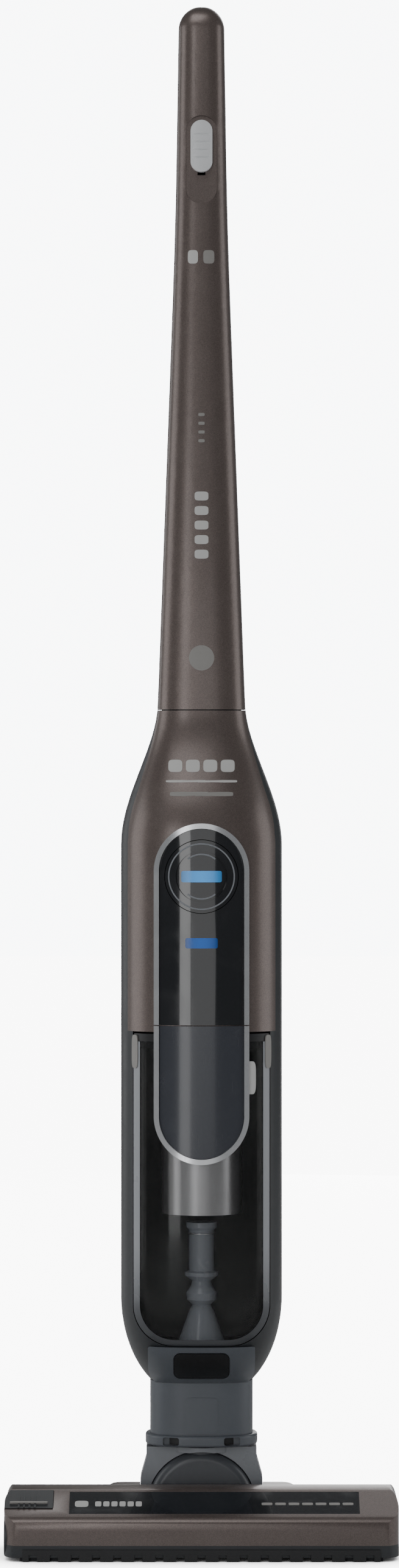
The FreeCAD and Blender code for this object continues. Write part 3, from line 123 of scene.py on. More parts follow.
# %% Group: moulded skin
def build_moulded_skin():
    group, start, end = new_group(
        "moulded skin",
        [("Colour", "Color", (0.5, 0.5, 0.5, 1)), ("Roughness", "Float", 0.4), ("Grain", "Float", 1500.0),
         ("Tone spread", "Float", 0.06), ("Gloss spread", "Float", 0.08)],
        [("Colour", "Color"), ("Roughness", "Float"), ("Height", "Float")])
    place = node(group, "ShaderNodeTexCoord").outputs["Object"]
    fine = node(group, "ShaderNodeTexNoise",
                {"Vector": place, "Scale": start.outputs["Grain"], "Detail": 2.0, "Roughness": 0.6})
    cloud = node(group, "ShaderNodeTexNoise",
                 {"Vector": place, "Scale": 24.0, "Detail": 4.0, "Roughness": 0.55})
    centred = math_node(group, "SUBTRACT", cloud.outputs["Fac"], 0.5)
    tone = math_node(group, "MULTIPLY_ADD", centred, start.outputs["Tone spread"], 1.0)
    shade = node(group, "ShaderNodeHueSaturation", {"Value": tone, "Color": start.outputs["Colour"]})
    gloss = math_node(group, "MULTIPLY_ADD", centred, start.outputs["Gloss spread"],
                      start.outputs["Roughness"])
    group.links.new(shade.outputs["Color"], end.inputs["Colour"])
    group.links.new(gloss, end.inputs["Roughness"])
    group.links.new(fine.outputs["Fac"], end.inputs["Height"])
    return group


MOULDED_SKIN = build_moulded_skin()
print("built", MOULDED_SKIN.name)

# %% [markdown]
# ### Handling marks
#
# Smudges are soft patches where the surface is a little rougher. Hairlines are noise stretched until only
# long thin threads are left above a threshold. Both only change roughness and, very slightly, brightness.

# %% Group: handling marks
def build_handling_marks():
    group, start, end = new_group(
        "handling marks",
        [("Colour", "Color", (0.5, 0.5, 0.5, 1)), ("Roughness", "Float", 0.3), ("Smudges", "Float", 0.1),
         ("Hairlines", "Float", 0.1)],
        [("Colour", "Color"), ("Roughness", "Float")])
    place = node(group, "ShaderNodeTexCoord").outputs["Object"]
    patch = node(group, "ShaderNodeTexNoise",
                 {"Vector": place, "Scale": 38.0, "Detail": 3.0, "Distortion": 0.6})
    smudge = node(group, "ShaderNodeMapRange",
                  {"Value": patch.outputs["Fac"], "From Min": 0.52, "From Max": 0.72})
    lean = node(group, "ShaderNodeMapping",
                {"Vector": place, "Rotation": (0.3, 0.5, 0.4), "Scale": (900, 60, 45)})
    thread = node(group, "ShaderNodeTexNoise", {"Vector": lean.outputs[0], "Scale": 1.0, "Detail": 2.0})
    line = node(group, "ShaderNodeMapRange",
                {"Value": thread.outputs["Fac"], "From Min": 0.68, "From Max": 0.74})
    smudge_gain = math_node(group, "MULTIPLY", smudge.outputs[0], start.outputs["Smudges"])
    line_gain = math_node(group, "MULTIPLY", line.outputs[0], start.outputs["Hairlines"])
    both = math_node(group, "ADD", smudge_gain, line_gain)
    rough = math_node(group, "ADD", both, start.outputs["Roughness"])
    paler = math_node(group, "MULTIPLY", both, 0.12)
    colour = mixed_colour(group, "MIX", paler, start.outputs["Colour"], (0.6, 0.6, 0.6, 1))
    group.links.new(colour, end.inputs["Colour"])
    group.links.new(rough, end.inputs["Roughness"])
    return group


HANDLING_MARKS = build_handling_marks()
print("built", HANDLING_MARKS.name)

# %% [markdown]
# ### Metal flake
#
# Metallic paint is clear lacquer with tiny aluminium flakes that lie at slightly different angles. Each
# cell of a Voronoi pattern stands for one flake: its random colour makes it a little lighter or darker.

# %% Group: metal flake
def build_metal_flake():
    group, start, end = new_group(
        "metal flake",
        [("Colour", "Color", (0.3, 0.3, 0.3, 1)), ("Flakes", "Float", 2600.0), ("Sparkle", "Float", 0.3)],
        [("Colour", "Color"), ("Height", "Float")])
    place = node(group, "ShaderNodeTexCoord").outputs["Object"]
    cells = node(group, "ShaderNodeTexVoronoi", {"Vector": place, "Scale": start.outputs["Flakes"]})
    level = node(group, "ShaderNodeSeparateColor", {"Color": cells.outputs["Color"]})
    centred = math_node(group, "SUBTRACT", level.outputs[0], 0.5)
    gain = math_node(group, "MULTIPLY_ADD", centred, start.outputs["Sparkle"], 1.0)
    shade = node(group, "ShaderNodeHueSaturation", {"Value": gain, "Color": start.outputs["Colour"]})
    group.links.new(shade.outputs["Color"], end.inputs["Colour"])
    group.links.new(level.outputs[1], end.inputs["Height"])
    return group


METAL_FLAKE = build_metal_flake()
print("built", METAL_FLAKE.name)

# %% [markdown]
# ## Finishes
#
# Most of this product is moulded plastic, so one recipe covers most finishes: colour and gloss go through
# the skin and marks groups, and the grain goes to a Bump node. What differs is stated in each call. The
# numbers that are the same all over, such as the lacquer's coat, are set on the shader itself.

# %% Helper: one moulded finish
def linear(red, green, blue):
    """Screen colour from 0 to 255 as linear light."""
    screen = np.array([red, green, blue]) / 255.0
    low, high = screen / 12.92, ((screen + 0.055) / 1.055) ** 2.4
    return (*np.where(screen <= 0.04045, low, high).tolist(), 1.0)


def blank_material(name):
    material = bpy.data.materials.new(name)
    material.use_nodes = True
    tree = material.node_tree
    tree.nodes.clear()
    output = tree.nodes.new("ShaderNodeOutputMaterial")
    shader = tree.nodes.new("ShaderNodeBsdfPrincipled")
    tree.links.new(shader.outputs[0], output.inputs["Surface"])
    return material, tree, shader


def place_group(tree, group, links):
    made = node(tree, "ShaderNodeGroup", node_tree=group)
    for socket, value in links.items():
        if isinstance(value, bpy.types.NodeSocket):
            tree.links.new(value, made.inputs[socket])
        else:
            made.inputs[socket].default_value = value
    return made.outputs


def bump_from(tree, height, strength, distance):
    made = node(tree, "ShaderNodeBump", {"Height": height, "Strength": strength, "Distance": distance})
    return made.outputs["Normal"]


def moulded(name, colour, roughness, grain=1500.0, depth=0.00004, tone=0.06, gloss=0.08, smudges=0.05,
            hairlines=0.05, flake=0.0, **constants):
    """A moulded or painted plastic. Constants are Principled sockets such as Metallic or Coat_Weight."""
    material, tree, shader = blank_material(name)
    skin = place_group(tree, MOULDED_SKIN, {"Colour": colour, "Roughness": roughness, "Grain": grain,
                                            "Tone spread": tone, "Gloss spread": gloss})
    marks = place_group(tree, HANDLING_MARKS, {"Colour": skin["Colour"], "Roughness": skin["Roughness"],
                                               "Smudges": smudges, "Hairlines": hairlines})
    top = marks["Colour"]
    if flake:
        top = place_group(tree, METAL_FLAKE, {"Colour": top, "Sparkle": flake})["Colour"]
    tree.links.new(top, shader.inputs["Base Color"])
    tree.links.new(marks["Roughness"], shader.inputs["Roughness"])
    tree.links.new(bump_from(tree, skin["Height"], 0.35, depth), shader.inputs["Normal"])
    for socket, value in constants.items():
        shader.inputs[socket.replace("_", " ")].default_value = value
    return material


print("moulded() ready")

# %% [markdown]
# ### Bronze paint
#
# The coloured shells are painted a warm grey-brown with fine flakes under a satin lacquer: half metallic
# under a thin coat, so they show broad soft highlights along their rounded sides.

# %% Bronze paint
bronze_paint = moulded("bronze paint", linear(113, 102, 98), 0.36, grain=1800.0, tone=0.05, smudges=0.04,
                       hairlines=0.06, flake=0.35, Metallic=0.55, Coat_Weight=0.35, Coat_Roughness=0.22)
print("made", bronze_paint.name)

# %% [markdown]
# ### Plain plastics
#
# The black rear housing has a fine satin grain, the neck is blue-grey and the slider is almost white. The
# front panel is polished and lacquered, which takes smudges but no grain. The container's frame has painted
# shade: its colour is mixed by height, pale at the top of its arms and painted darker towards its foot.

# %% Plain plastics
black_satin = moulded("black satin plastic", linear(54, 57, 60), 0.38, grain=1300.0, tone=0.08)
deep_black = moulded("deep black plastic", linear(32, 33, 35), 0.42, grain=1100.0, tone=0.1)
neck_grey = moulded("neck grey plastic", linear(98, 103, 110), 0.34, grain=1400.0, tone=0.05)
dome_grey = moulded("dome grey plastic", linear(84, 87, 92), 0.3, grain=1400.0, tone=0.05)
column_grey = moulded("column grey plastic", linear(168, 174, 184), 0.25, grain=1400.0, tone=0.05,
                      Coat_Weight=0.4)
frame_grey = moulded("frame grey plastic", linear(142, 146, 152), 0.28, grain=1700.0, tone=0.04,
                     Coat_Weight=0.3, Coat_Roughness=0.15)
slider_white = moulded("slider light plastic", linear(224, 226, 228), 0.3, grain=1900.0, tone=0.02)
panel_gloss = moulded("panel gloss", linear(30, 32, 36), 0.12, grain=400.0, depth=0.00001, tone=0.03,
                      gloss=0.02, smudges=0.08, Coat_Weight=1.0, Coat_Roughness=0.04)
panel_satin = moulded("panel satin", linear(62, 65, 73), 0.24, grain=1200.0, depth=0.00002, tone=0.03,
                      gloss=0.03, Coat_Weight=0.5, Coat_Roughness=0.12)
core_red = moulded("brush core plastic", linear(118, 30, 34), 0.4)


def build_painted_shade_grey(name, low_colour, high_colour, low_z, high_z):
    """Painted shade: a grey whose share of the high colour rises as smoothstep of the height from low_z to
    high_z.
    """
    material, tree, shader = blank_material(name)
    place = node(tree, "ShaderNodeTexCoord").outputs["Object"]
    height = node(tree, "ShaderNodeSeparateXYZ", {"Vector": place}).outputs["Z"]
    share = node(tree, "ShaderNodeMapRange", {"Value": height, "From Min": low_z, "From Max": high_z},
                 interpolation_type="SMOOTHSTEP").outputs[0]
    colour = mixed_colour(tree, "MIX", share, low_colour, high_colour)
    skin = place_group(tree, MOULDED_SKIN, {"Colour": colour, "Roughness": 0.28, "Grain": 1700.0})
    tree.links.new(skin["Colour"], shader.inputs["Base Color"])
    tree.links.new(skin["Roughness"], shader.inputs["Roughness"])
    tree.links.new(bump_from(tree, skin["Height"], 0.35, 0.00003), shader.inputs["Normal"])
    shader.inputs["Coat Weight"].default_value = 0.3
    shader.inputs["Coat Roughness"].default_value = 0.15
    return material


# Painted shade: the frame is painted darker towards its foot and paler up its arms, by height.
painted_shade_grey = build_painted_shade_grey("container frame grey with painted shade", linear(70, 73, 77), linear(146, 150, 156),
                                low_z=0.165, high_z=0.235)
print("made 11 plastics")

# %% [markdown]
# ### Silver ring and cyclone tube
#
# The ring is silver paint on plastic, bright and nearly smooth. The cyclone tube inside the container is
# metallised too, but it is turned, so its highlight is drawn out by fine lines round the tube: a noise
# stretched flat, many lines to the millimetre along Z and none round the tube.

# %% Silver finishes
ring_silver = moulded("ring silver paint", linear(226, 228, 231), 0.22, grain=2000.0, depth=0.00001,
                      tone=0.02, flake=0.1, Metallic=0.75, Coat_Weight=0.6, Coat_Roughness=0.1)


def build_turned_silver():
    material, tree, shader = blank_material("turned silver")
    place = node(tree, "ShaderNodeTexCoord").outputs["Object"]
    flat = node(tree, "ShaderNodeMapping", {"Vector": place, "Scale": (6.0, 6.0, 2400.0)})
    lines = node(tree, "ShaderNodeTexNoise", {"Vector": flat.outputs[0], "Scale": 1.0, "Detail": 3.0})
    marks = place_group(tree, HANDLING_MARKS, {"Colour": linear(228, 228, 230), "Roughness": 0.34,
                                               "Smudges": 0.05, "Hairlines": 0.0})
    tree.links.new(marks["Colour"], shader.inputs["Base Color"])
    tree.links.new(marks["Roughness"], shader.inputs["Roughness"])
    tree.links.new(bump_from(tree, lines.outputs["Fac"], 0.25, 0.00003), shader.inputs["Normal"])
    shader.inputs["Metallic"].default_value = 0.8
    return material


turned_silver = build_turned_silver()
print("made", ring_silver.name, "and", turned_silver.name)

# %% [markdown]
# ### Smoked clear plastic
#
# The dust container is clear plastic with a light grey tint. Refraction would matter for a thick lens, but
# not for a 2 mm wall, so a mostly transparent glossy skin is enough, and it lets the light in evenly.

# %% Smoked clear plastic
smoke_clear = moulded("smoked clear plastic", linear(16, 18, 20), 0.07, grain=12.0, depth=0.00001,
                      tone=0.02, gloss=0.02, smudges=0.04, Coat_Weight=1.0, Coat_Roughness=0.03, Alpha=0.2)
print("made", smoke_clear.name)

# %% [markdown]
# ### Light windows
#
# Two blue windows show that the vacuum is on. The plastic is blue and a lamp behind it is brightest in the
# middle, so the glow fades along X from the centre to both ends.

# %% Light windows
def light_window(name, colour, strength, half_width):
    """Glow = 1 - (x / half width) squared, between a floor of 0.35 and 1."""
    material, tree, shader = blank_material(name)
    place = node(tree, "ShaderNodeTexCoord").outputs["Object"]
    across = node(tree, "ShaderNodeSeparateXYZ", {"Vector": place}).outputs["X"]
    reach = math_node(tree, "DIVIDE", across, half_width)
    square = math_node(tree, "MULTIPLY", reach, reach)
    fade = node(tree, "ShaderNodeMapRange", {"Value": square, "To Min": 1.0, "To Max": 0.35})
    glow = mixed_colour(tree, "MULTIPLY", 1.0, colour, fade.outputs[0])
    cloud = node(tree, "ShaderNodeTexNoise", {"Vector": place, "Scale": 300.0})
    rough = node(tree, "ShaderNodeMapRange", {"Value": cloud.outputs["Fac"], "To Min": 0.12, "To Max": 0.2})
    tree.links.new(glow, shader.inputs["Base Color"])
    tree.links.new(glow, shader.inputs["Emission Color"])
    tree.links.new(rough.outputs[0], shader.inputs["Roughness"])
    shader.inputs["Emission Strength"].default_value = strength
    return material


button_blue = light_window("button light blue", linear(70, 150, 220), 0.55, 0.016)
sensor_blue = light_window("sensor light blue", linear(28, 92, 175), 0.35, 0.013)
print("made", button_blue.name, "and", sensor_blue.name)

# %% [markdown]
# ### Rubber, foam, fleece and felt
#
# Soft materials scatter light: high roughness, a little sheen, and a surface pattern at their own scale.
# Open foam is a Voronoi pattern of cells about 0.8 mm across, fleece and felt are tangled fibre, which a
# distorted noise imitates, and the grip rubber has a fine matt skin.

# %% Soft finishes
def fibrous(name, colour, scale, distortion, depth, cells=False, sheen=0.3, roughness=0.9):
    material, tree, shader = blank_material(name)
    place = node(tree, "ShaderNodeTexCoord").outputs["Object"]
    if cells:
        relief = node(tree, "ShaderNodeTexVoronoi", {"Vector": place, "Scale": scale}).outputs["Distance"]
    else:
        relief = node(tree, "ShaderNodeTexNoise", {"Vector": place, "Scale": scale, "Detail": 5.0,
                                                   "Distortion": distortion}).outputs["Fac"]
    shade = node(tree, "ShaderNodeMapRange", {"Value": relief, "To Min": 0.65, "To Max": 1.1})
    tinted = node(tree, "ShaderNodeHueSaturation", {"Value": shade.outputs[0], "Color": colour})
    rough = node(tree, "ShaderNodeMapRange",
                 {"Value": relief, "To Min": roughness - 0.08, "To Max": roughness})
    tree.links.new(tinted.outputs[0], shader.inputs["Base Color"])
    tree.links.new(rough.outputs[0], shader.inputs["Roughness"])
    tree.links.new(bump_from(tree, relief, 0.7, depth), shader.inputs["Normal"])
    shader.inputs["Sheen Weight"].default_value = sheen
    return material


soft_rubber = fibrous("soft rubber", linear(38, 39, 42), 2200.0, 0.2, 0.00005, sheen=0.15, roughness=0.72)
open_foam = fibrous("open foam", linear(52, 54, 58), 1250.0, 0.0, 0.0006, cells=True)
pleated_fleece = fibrous("pleated fleece", linear(222, 220, 210), 900.0, 2.5, 0.0001)
pressed_felt = fibrous("pressed felt", linear(62, 62, 66), 1500.0, 3.0, 0.0002)
print("made 4 soft finishes")

# %% [markdown]
# ### Metals and electronics
#
# Steel pins and screws are drawn or turned, so their fine lines run one way. The circuit board is green
# lacquer over copper tracks: a brick pattern makes straight tracks that change course now and then.

# %% Metals and electronics
def drawn_metal(name, colour, roughness, stretch):
    """Metal with fine lines. Stretch holds the noise's scale along X, Y and Z."""
    material, tree, shader = blank_material(name)
    place = node(tree, "ShaderNodeTexCoord").outputs["Object"]
    along = node(tree, "ShaderNodeMapping", {"Vector": place, "Scale": stretch})
    lines = node(tree, "ShaderNodeTexNoise", {"Vector": along.outputs[0], "Scale": 1.0, "Detail": 3.0})
    gloss = node(tree, "ShaderNodeMapRange", {"Value": lines.outputs["Fac"], "To Min": roughness - 0.08,
                                              "To Max": roughness + 0.1})
    marks = place_group(tree, HANDLING_MARKS, {"Colour": colour, "Roughness": gloss.outputs[0]})
    tree.links.new(marks["Colour"], shader.inputs["Base Color"])
    tree.links.new(marks["Roughness"], shader.inputs["Roughness"])
    tree.links.new(bump_from(tree, lines.outputs["Fac"], 0.2, 0.00003), shader.inputs["Normal"])
    shader.inputs["Metallic"].default_value = 1.0
    return material


def build_circuit_board():
    material, tree, shader = blank_material("circuit board")
    place = node(tree, "ShaderNodeTexCoord").outputs["Object"]
    upright = node(tree, "ShaderNodeMapping",
                   {"Vector": place, "Rotation": (math.pi / 2, 0, 0), "Scale": (320,) * 3})
    tracks = node(tree, "ShaderNodeTexBrick", {"Vector": upright.outputs[0], "Color1": linear(20, 84, 52),
                                               "Color2": linear(26, 98, 60), "Mortar": linear(86, 140, 70),
                                               "Scale": 1.0, "Mortar Size": 0.06})
    tree.links.new(tracks.outputs["Color"], shader.inputs["Base Color"])
    tree.links.new(bump_from(tree, tracks.outputs["Fac"], 0.4, 0.00005), shader.inputs["Normal"])
    shader.inputs["Roughness"].default_value = 0.35
    return material


bright_steel = drawn_metal("bright steel", linear(186, 188, 192), 0.28, (30, 900, 900))
motor_metal = drawn_metal("motor metal", linear(150, 150, 154), 0.36, (60, 60, 1200))
circuit_board = build_circuit_board()
cell_wrap = moulded("cell wrap film", linear(66, 128, 88), 0.25, grain=900.0, Coat_Weight=0.4)
nylon = moulded("bristle nylon", linear(48, 64, 104), 0.35, grain=2500.0)
print("made steel, motor metal, board, cell wrap and nylon")

# %% [markdown]
# ## Dressing the mouldings
#
# Each node now gets its finish. A node keeps its material slot, and only the material in it changes.

# %% Assign the finishes
DRESS = {
    bronze_paint: ["head_cover", "front_shell", "handle_front", "switch_plate"],
    black_satin: ["rear_housing", "handle_rear", "head_base", "battery_case", "motor_case",
                  "left_wheel_hub", "right_wheel_hub", "brush_end_cap", "brush_latch", "charge_socket",
                  "inlet_duct"],
    dome_grey: ["neck_elbow"],
    column_grey: ["dust_column"],
    deep_black: ["container_bay", "container_lid", "front_lip", "nozzle_release"],
    neck_grey: ["neck_tube", "coupling_cover"],
    painted_shade_grey: ["container_frame"],
    frame_grey: ["neck_fork", "battery_latch", "brush_pulley"],
    slider_white: ["power_slider"],
    panel_gloss: ["panel_upper", "release_button", "cover_inlay"],
    panel_satin: ["panel_lower"],
    ring_silver: ["bezel_upper", "bezel_lower"],
    turned_silver: ["cyclone_tube"],
    smoke_clear: ["container_shell"],
    button_blue: ["button_lens"],
    sensor_blue: ["sensor_lens"],
    soft_rubber: ["grip_pad", "drive_belt", "lid_seal", "wiring_harness", "left_wheel_tyre",
                  "right_wheel_tyre"],
    open_foam: ["exhaust_filters"],
    pleated_fleece: ["filter_cartridge"],
    pressed_felt: ["glide_pads"],
    bright_steel: ["head_screws", "hinge_pins", "wheel_axles", "handle_screw", "motor_shaft",
                   "motor_pulley"],
    motor_metal: ["brush_motor", "motor_can", "impeller"],
    circuit_board: ["control_board"],
    cell_wrap: ["battery_cells"],
    core_red: ["brush_core"],
    nylon: ["brush_bristles"],
}
for finish, names in DRESS.items():
    for name in names:
        slots = NODES[name].data.materials
        slots.clear()
        slots.append(finish)
bare = sorted(set(NODES) - {name for names in DRESS.values() for name in names})
print("dressed", len(NODES) - len(bare), "nodes, bare:", bare)

# %% [markdown]
# ## Meshes from arrays
#
# The new pieces are surfaces computed with numpy. A surface is a grid of points, so its faces follow from
# its size alone. Two helpers give the faces of a plain grid and of a disc with a middle point.

# %% Helpers: meshes from arrays
def grid_faces(rows, columns, wrap=False):
    """Quads between neighbours of a rows x columns grid. With wrap, the last column meets the first."""
    across = columns if wrap else columns - 1
    r, c = np.meshgrid(np.arange(rows - 1), np.arange(across), indexing="ij")
    nearer, further = c, (c + 1) % columns
    quads = np.stack([r * columns + nearer, r * columns + further,
                      (r + 1) * columns + further, (r + 1) * columns + nearer], axis=-1)
    return quads.reshape(-1, 4)


def build_piece(name, points, faces, body, finish, smooth=True, angle=35.0):
    """Puts arrays of points and faces into a mesh that rides on a body of the mechanical model."""
    mesh = bpy.data.meshes.new(name)
    corners = np.asarray(points, float).reshape(-1, 3).tolist()
    mesh.from_pydata(corners, [], [list(map(int, face)) for face in faces])
    mesh.validate()
    piece = bpy.data.objects.new(name, mesh)
    bpy.context.scene.collection.objects.link(piece)
    mesh.materials.append(finish)
    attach(piece, body)
    if smooth:
        smooth_by_angle(piece, angle, weld=False)
    print("made", name, "with", len(mesh.polygons), "faces")
    return piece


print("mesh helpers ready")

# %% [markdown]
# ## The outline, worked out again
#
# Printed marks lie on the handle, the panel and the head, so we need those surfaces as functions. The
# cross-section of the body is a superellipse: halfway between an ellipse and a rounded rectangle.

# %% Surfaces of the product as functions
FRAME_Y = -0.00935
POWER = 2.6
SEAM_Z, CAP_Z = 0.629, 1.1495
TIP_HALF_W, TAPER, FLARE, KNEE_DROP, KNEE_LENGTH = 0.0175, 0.0146, 0.0215, 0.150, 0.040
BODY_HALF_W, BODY_Y, BODY_HALF_D = 0.0605, 0.008, 0.054
SHOULDER_TOP_Z, SHOULDER_DROP = 0.634, 0.106
NECK_HALF_W, NECK_HALF_D, NECK_Y = 0.0388, 0.026, 0.030
PANEL_BULGE_R, PANEL_BULGE_Y = 0.07, 0.018
HEAD_FRONT_Y, HEAD_EDGE_Z, HEAD_RISE, HEAD_RUN = -0.066, 0.030, 20, 46


def smoothstep(t):
    t = np.clip(t, 0.0, 1.0)
    return t * t * (3.0 - 2.0 * t)


def outline(z):
    """Half width, middle y and half depth of body and handle at height z, from shoulder to tip."""
    below = CAP_Z - z
    past_knee = below - KNEE_DROP
    width = TIP_HALF_W + TAPER * below + FLARE * (np.hypot(past_knee, KNEE_LENGTH) + past_knee) / 2
    up = np.clip((z - SEAM_Z) / (CAP_Z - SEAM_Z), 0.0, 1.0)
    middle = 0.014 + 0.052 * smoothstep(up)
    depth = 0.022 - 0.005 * up
    share = smoothstep((SHOULDER_TOP_Z - z) / SHOULDER_DROP)
    return (width + (BODY_HALF_W - width) * share, middle + (BODY_Y - middle) * share + FRAME_Y,
            depth + (BODY_HALF_D - depth) * share)


def superellipse(share):
    """How far the outline reaches from the middle, as a share, at a share of the half width."""
    return np.clip(1.0 - np.abs(share) ** POWER, 0.0, 1.0) ** (1.0 / POWER)


def on_body(x, z, side=-1.0):
    """The point of the body at x and z, on its front (side -1) or its back (side +1)."""
    half_w, middle, half_d = outline(z)
    return np.stack([x, middle + side * half_d * superellipse(x / half_w), z], axis=-1)


def on_panel(x, z):
    """The front panel bulges about an upright axis with a radius of 70 mm."""
    return np.stack([x, FRAME_Y + PANEL_BULGE_Y - np.sqrt(PANEL_BULGE_R ** 2 - x ** 2), z], axis=-1)


def on_neck(x, z):
    """The front of the oval neck."""
    return np.stack([x, NECK_Y - NECK_HALF_D * superellipse(x / NECK_HALF_W) + FRAME_Y, z], axis=-1)


def on_head(x, v):
    """The sloped top of the floor head. v runs along the slope, from its front edge backwards."""
    y = HEAD_FRONT_Y + v * math.cos(math.atan2(HEAD_RISE, HEAD_RUN))
    return np.stack([x, y + FRAME_Y, HEAD_EDGE_Z + (y - HEAD_FRONT_Y) * HEAD_RISE / HEAD_RUN], axis=-1)


print("front of the handle at z = 1 m:", np.round(on_body(np.array(0.0), np.array(1.0)), 4))

# %% [markdown]
# ## Printed marks
#
# Pad printing leaves a film a tenth of a millimetre thick. Each mark is a small superellipse cut out of
# the surface: rings of points from the middle outwards, carried onto the surface and lifted off it. The
# marks here are plain bars and dots in the places where such a product carries its print.

# %% Helper: a thin printed mark on a surface
def printed_mark(name, surface, centre, half_size, body, finish, power=4.0, lift=0.00012, root=0.2):
    """Points: centre + r * superellipse(angle), r from 0 to 1, lifted off the surface.

    The lift is the height of its top. Its underside is at root * lift, which is negative to sink it in.
    """
    rings, sectors = 5, 40
    r = np.linspace(0.0, 1.0, rings)[1:, None]
    angle = np.linspace(0.0, 2 * np.pi, sectors, endpoint=False)[None, :]
    a = r * half_size[0] * np.sign(np.cos(angle)) * np.abs(np.cos(angle)) ** (2 / power)
    b = r * half_size[1] * np.sign(np.sin(angle)) * np.abs(np.sin(angle)) ** (2 / power)
    u = np.append(0.0, a.ravel()) + centre[0]
    v = np.append(0.0, b.ravel()) + centre[1]
    step = 1e-5
    base = surface(u, v)
    normal = np.cross(surface(u + step, v) - base, surface(u, v + step) - base)
    normal /= np.linalg.norm(normal, axis=1, keepdims=True)
    outer, inner = base + normal * lift, base + normal * lift * root
    count = len(base)
    index = np.arange(sectors)
    fan = np.stack([np.zeros(sectors, int), 1 + index, 1 + (index + 1) % sectors], axis=1)
    skin = grid_faces(rings - 1, sectors, wrap=True)[:, ::-1] + 1
    rim_start = 1 + (rings - 2) * sectors
    rim, rim_next = rim_start + index, rim_start + (index + 1) % sectors
    wall = np.stack([rim, rim + count, rim_next + count, rim_next], axis=1)
    faces = [*fan, *skin, *(fan[:, ::-1] + count), *(skin[:, ::-1] + count), *wall]
    return build_piece(name, np.vstack([outer, inner]), faces, body, finish, angle=60)


print_white = moulded("pale print", linear(205, 205, 203), 0.45, grain=1500.0, tone=0.04)
print_grey = moulded("grey print", linear(150, 148, 145), 0.45, grain=1500.0, tone=0.04)
print("print finishes ready")

# %% [markdown]
# The handle carries an upright row of short bars, a round mark below it and two small squares near the
# switch. The chest has a row of blocks with two thin lines under it. On the floor head a badge and a row of
# blocks stand to the left of the middle, and a line of dashes to the right.

# %% Marks on the handle and the body
def body_mark(name, x, z, half_w, half_h, finish, power=4.0):
    printed_mark(name, on_body, (x, z), (half_w, half_h), "upper", finish, power=power)


for i, z in enumerate(np.linspace(0.790, 0.746, 5)):
    body_mark(f"handle_bar_{i}", 0.0, z, 0.0052, 0.0034, print_white)
for i, z in enumerate(np.linspace(0.852, 0.832, 4)):
    body_mark(f"handle_tick_{i}", 0.0, z, 0.0024, 0.0012, print_grey)
body_mark("handle_dot", 0.0, 0.668, 0.0095, 0.0095, print_grey, power=2.0)
body_mark("switch_mark_left", -0.0065, 0.973, 0.0038, 0.0052, print_white)
body_mark("switch_mark_right", 0.0055, 0.973, 0.0042, 0.0052, print_grey)
for i, x in enumerate(np.linspace(-0.0195, 0.0195, 4)):
    body_mark(f"chest_block_{i}", x, 0.587, 0.0052, 0.0046, print_white)
body_mark("chest_line", 0.0, 0.5755, 0.0265, 0.0009, print_white, power=8)
body_mark("chest_small_line", 0.0, 0.566, 0.0235, 0.0016, print_grey, power=8)

# %% Marks on the floor head
HEAD_MARK_V = 0.0245


def head_mark(name, x, half_w, half_h, finish, power=4.0):
    printed_mark(name, on_head, (x, HEAD_MARK_V), (half_w, half_h), "floor_head", finish,
                 power=power, lift=0.00015)


head_mark("head_badge", -0.0888, 0.0050, 0.0042, print_white)
for i, x in enumerate(np.linspace(-0.0765, -0.0465, 6)):
    head_mark(f"head_block_{i}", x, 0.0023, 0.0034, print_white, power=5.0)
for i, x in enumerate(np.linspace(0.0485, 0.1085, 7)):
    head_mark(f"head_dash_{i}", x, 0.0040, 0.0017, print_grey, power=6.0)
printed_mark("latch_line", on_head, (-0.128, HEAD_MARK_V), (0.014, 0.0011), "latch", print_grey,
             power=8, lift=0.00185)

# %% [markdown]
# The neck has a smooth raised pad on its front. A dark plate at the bottom of each pocket of its collar is
# painted shade in the recess. The container's frame has a pale thumb tab at the top of each arm, and a pale
# patch beside the ring is a painted highlight. They are made in the same way as a mark, only thicker. The
# plates lie behind the surface of the neck, so their lift is negative. A thin silver line runs round the
# dust column.

# %% Pad, painted shade plates, tabs, painted highlight and line
printed_mark("neck_pad", on_neck, (0.0, 0.0985), (0.01225, 0.0135), "upper", neck_grey, power=9,
             lift=0.0006, root=-1.0)
# A pale patch beside the ring: a painted highlight on the container's edge.
printed_mark("ring_painted_highlight", on_body, (0.0365, 0.3555), (0.0034, 0.0122), "dust_container", print_white,
             lift=0.0009, root=-2.0)
# Dark plates at the bottom of the collar pockets: painted shade in the recesses.
for side, x in (("left", -0.023), ("right", 0.023)):
    printed_mark(f"collar_pocket_painted_shade_{side}", on_neck, (x, 0.07925), (0.0055, 0.0027), "upper", deep_black,
                 power=6.0, lift=-0.0012, root=1.25)
for side, x in (("left", -0.0496), ("right", 0.0496)):
    printed_mark(f"frame_tab_{side}", on_body, (x, 0.3745), (0.0021, 0.0125), "dust_container", print_grey,
                 lift=0.0003, root=-4.0)


COLUMN_Y, LINE_Z, LINE_R, LINE_THICKNESS = -0.0105, 0.2375, 0.0096, 0.0007


def build_column_line():
    """A torus: its middle circle has the radius LINE_R, its tube the radius LINE_THICKNESS."""
    turns, sides = 72, 10
    turn = np.linspace(0.0, 2 * np.pi, turns, endpoint=False)[:, None]
    around = np.linspace(0.0, 2 * np.pi, sides, endpoint=False)[None, :]
    radius = LINE_R + LINE_THICKNESS * np.cos(around)
    points = np.stack([radius * np.cos(turn), FRAME_Y + COLUMN_Y + radius * np.sin(turn),
                       LINE_Z + LINE_THICKNESS * np.sin(around) + 0.0 * turn], axis=-1)
    faces = grid_faces(turns + 1, sides, wrap=True) % (turns * sides)
    return build_piece("column_line", points, faces, "dust_container", ring_silver)


build_column_line()

# %% [markdown]
# ## Rings on the round button
#
# The button is ringed by a fine bright bead, with two short arcs above and below its light. Each bead is a
# thin tube whose path lies on the bulged panel. Each end is closed with a flat cap, so it has no holes.

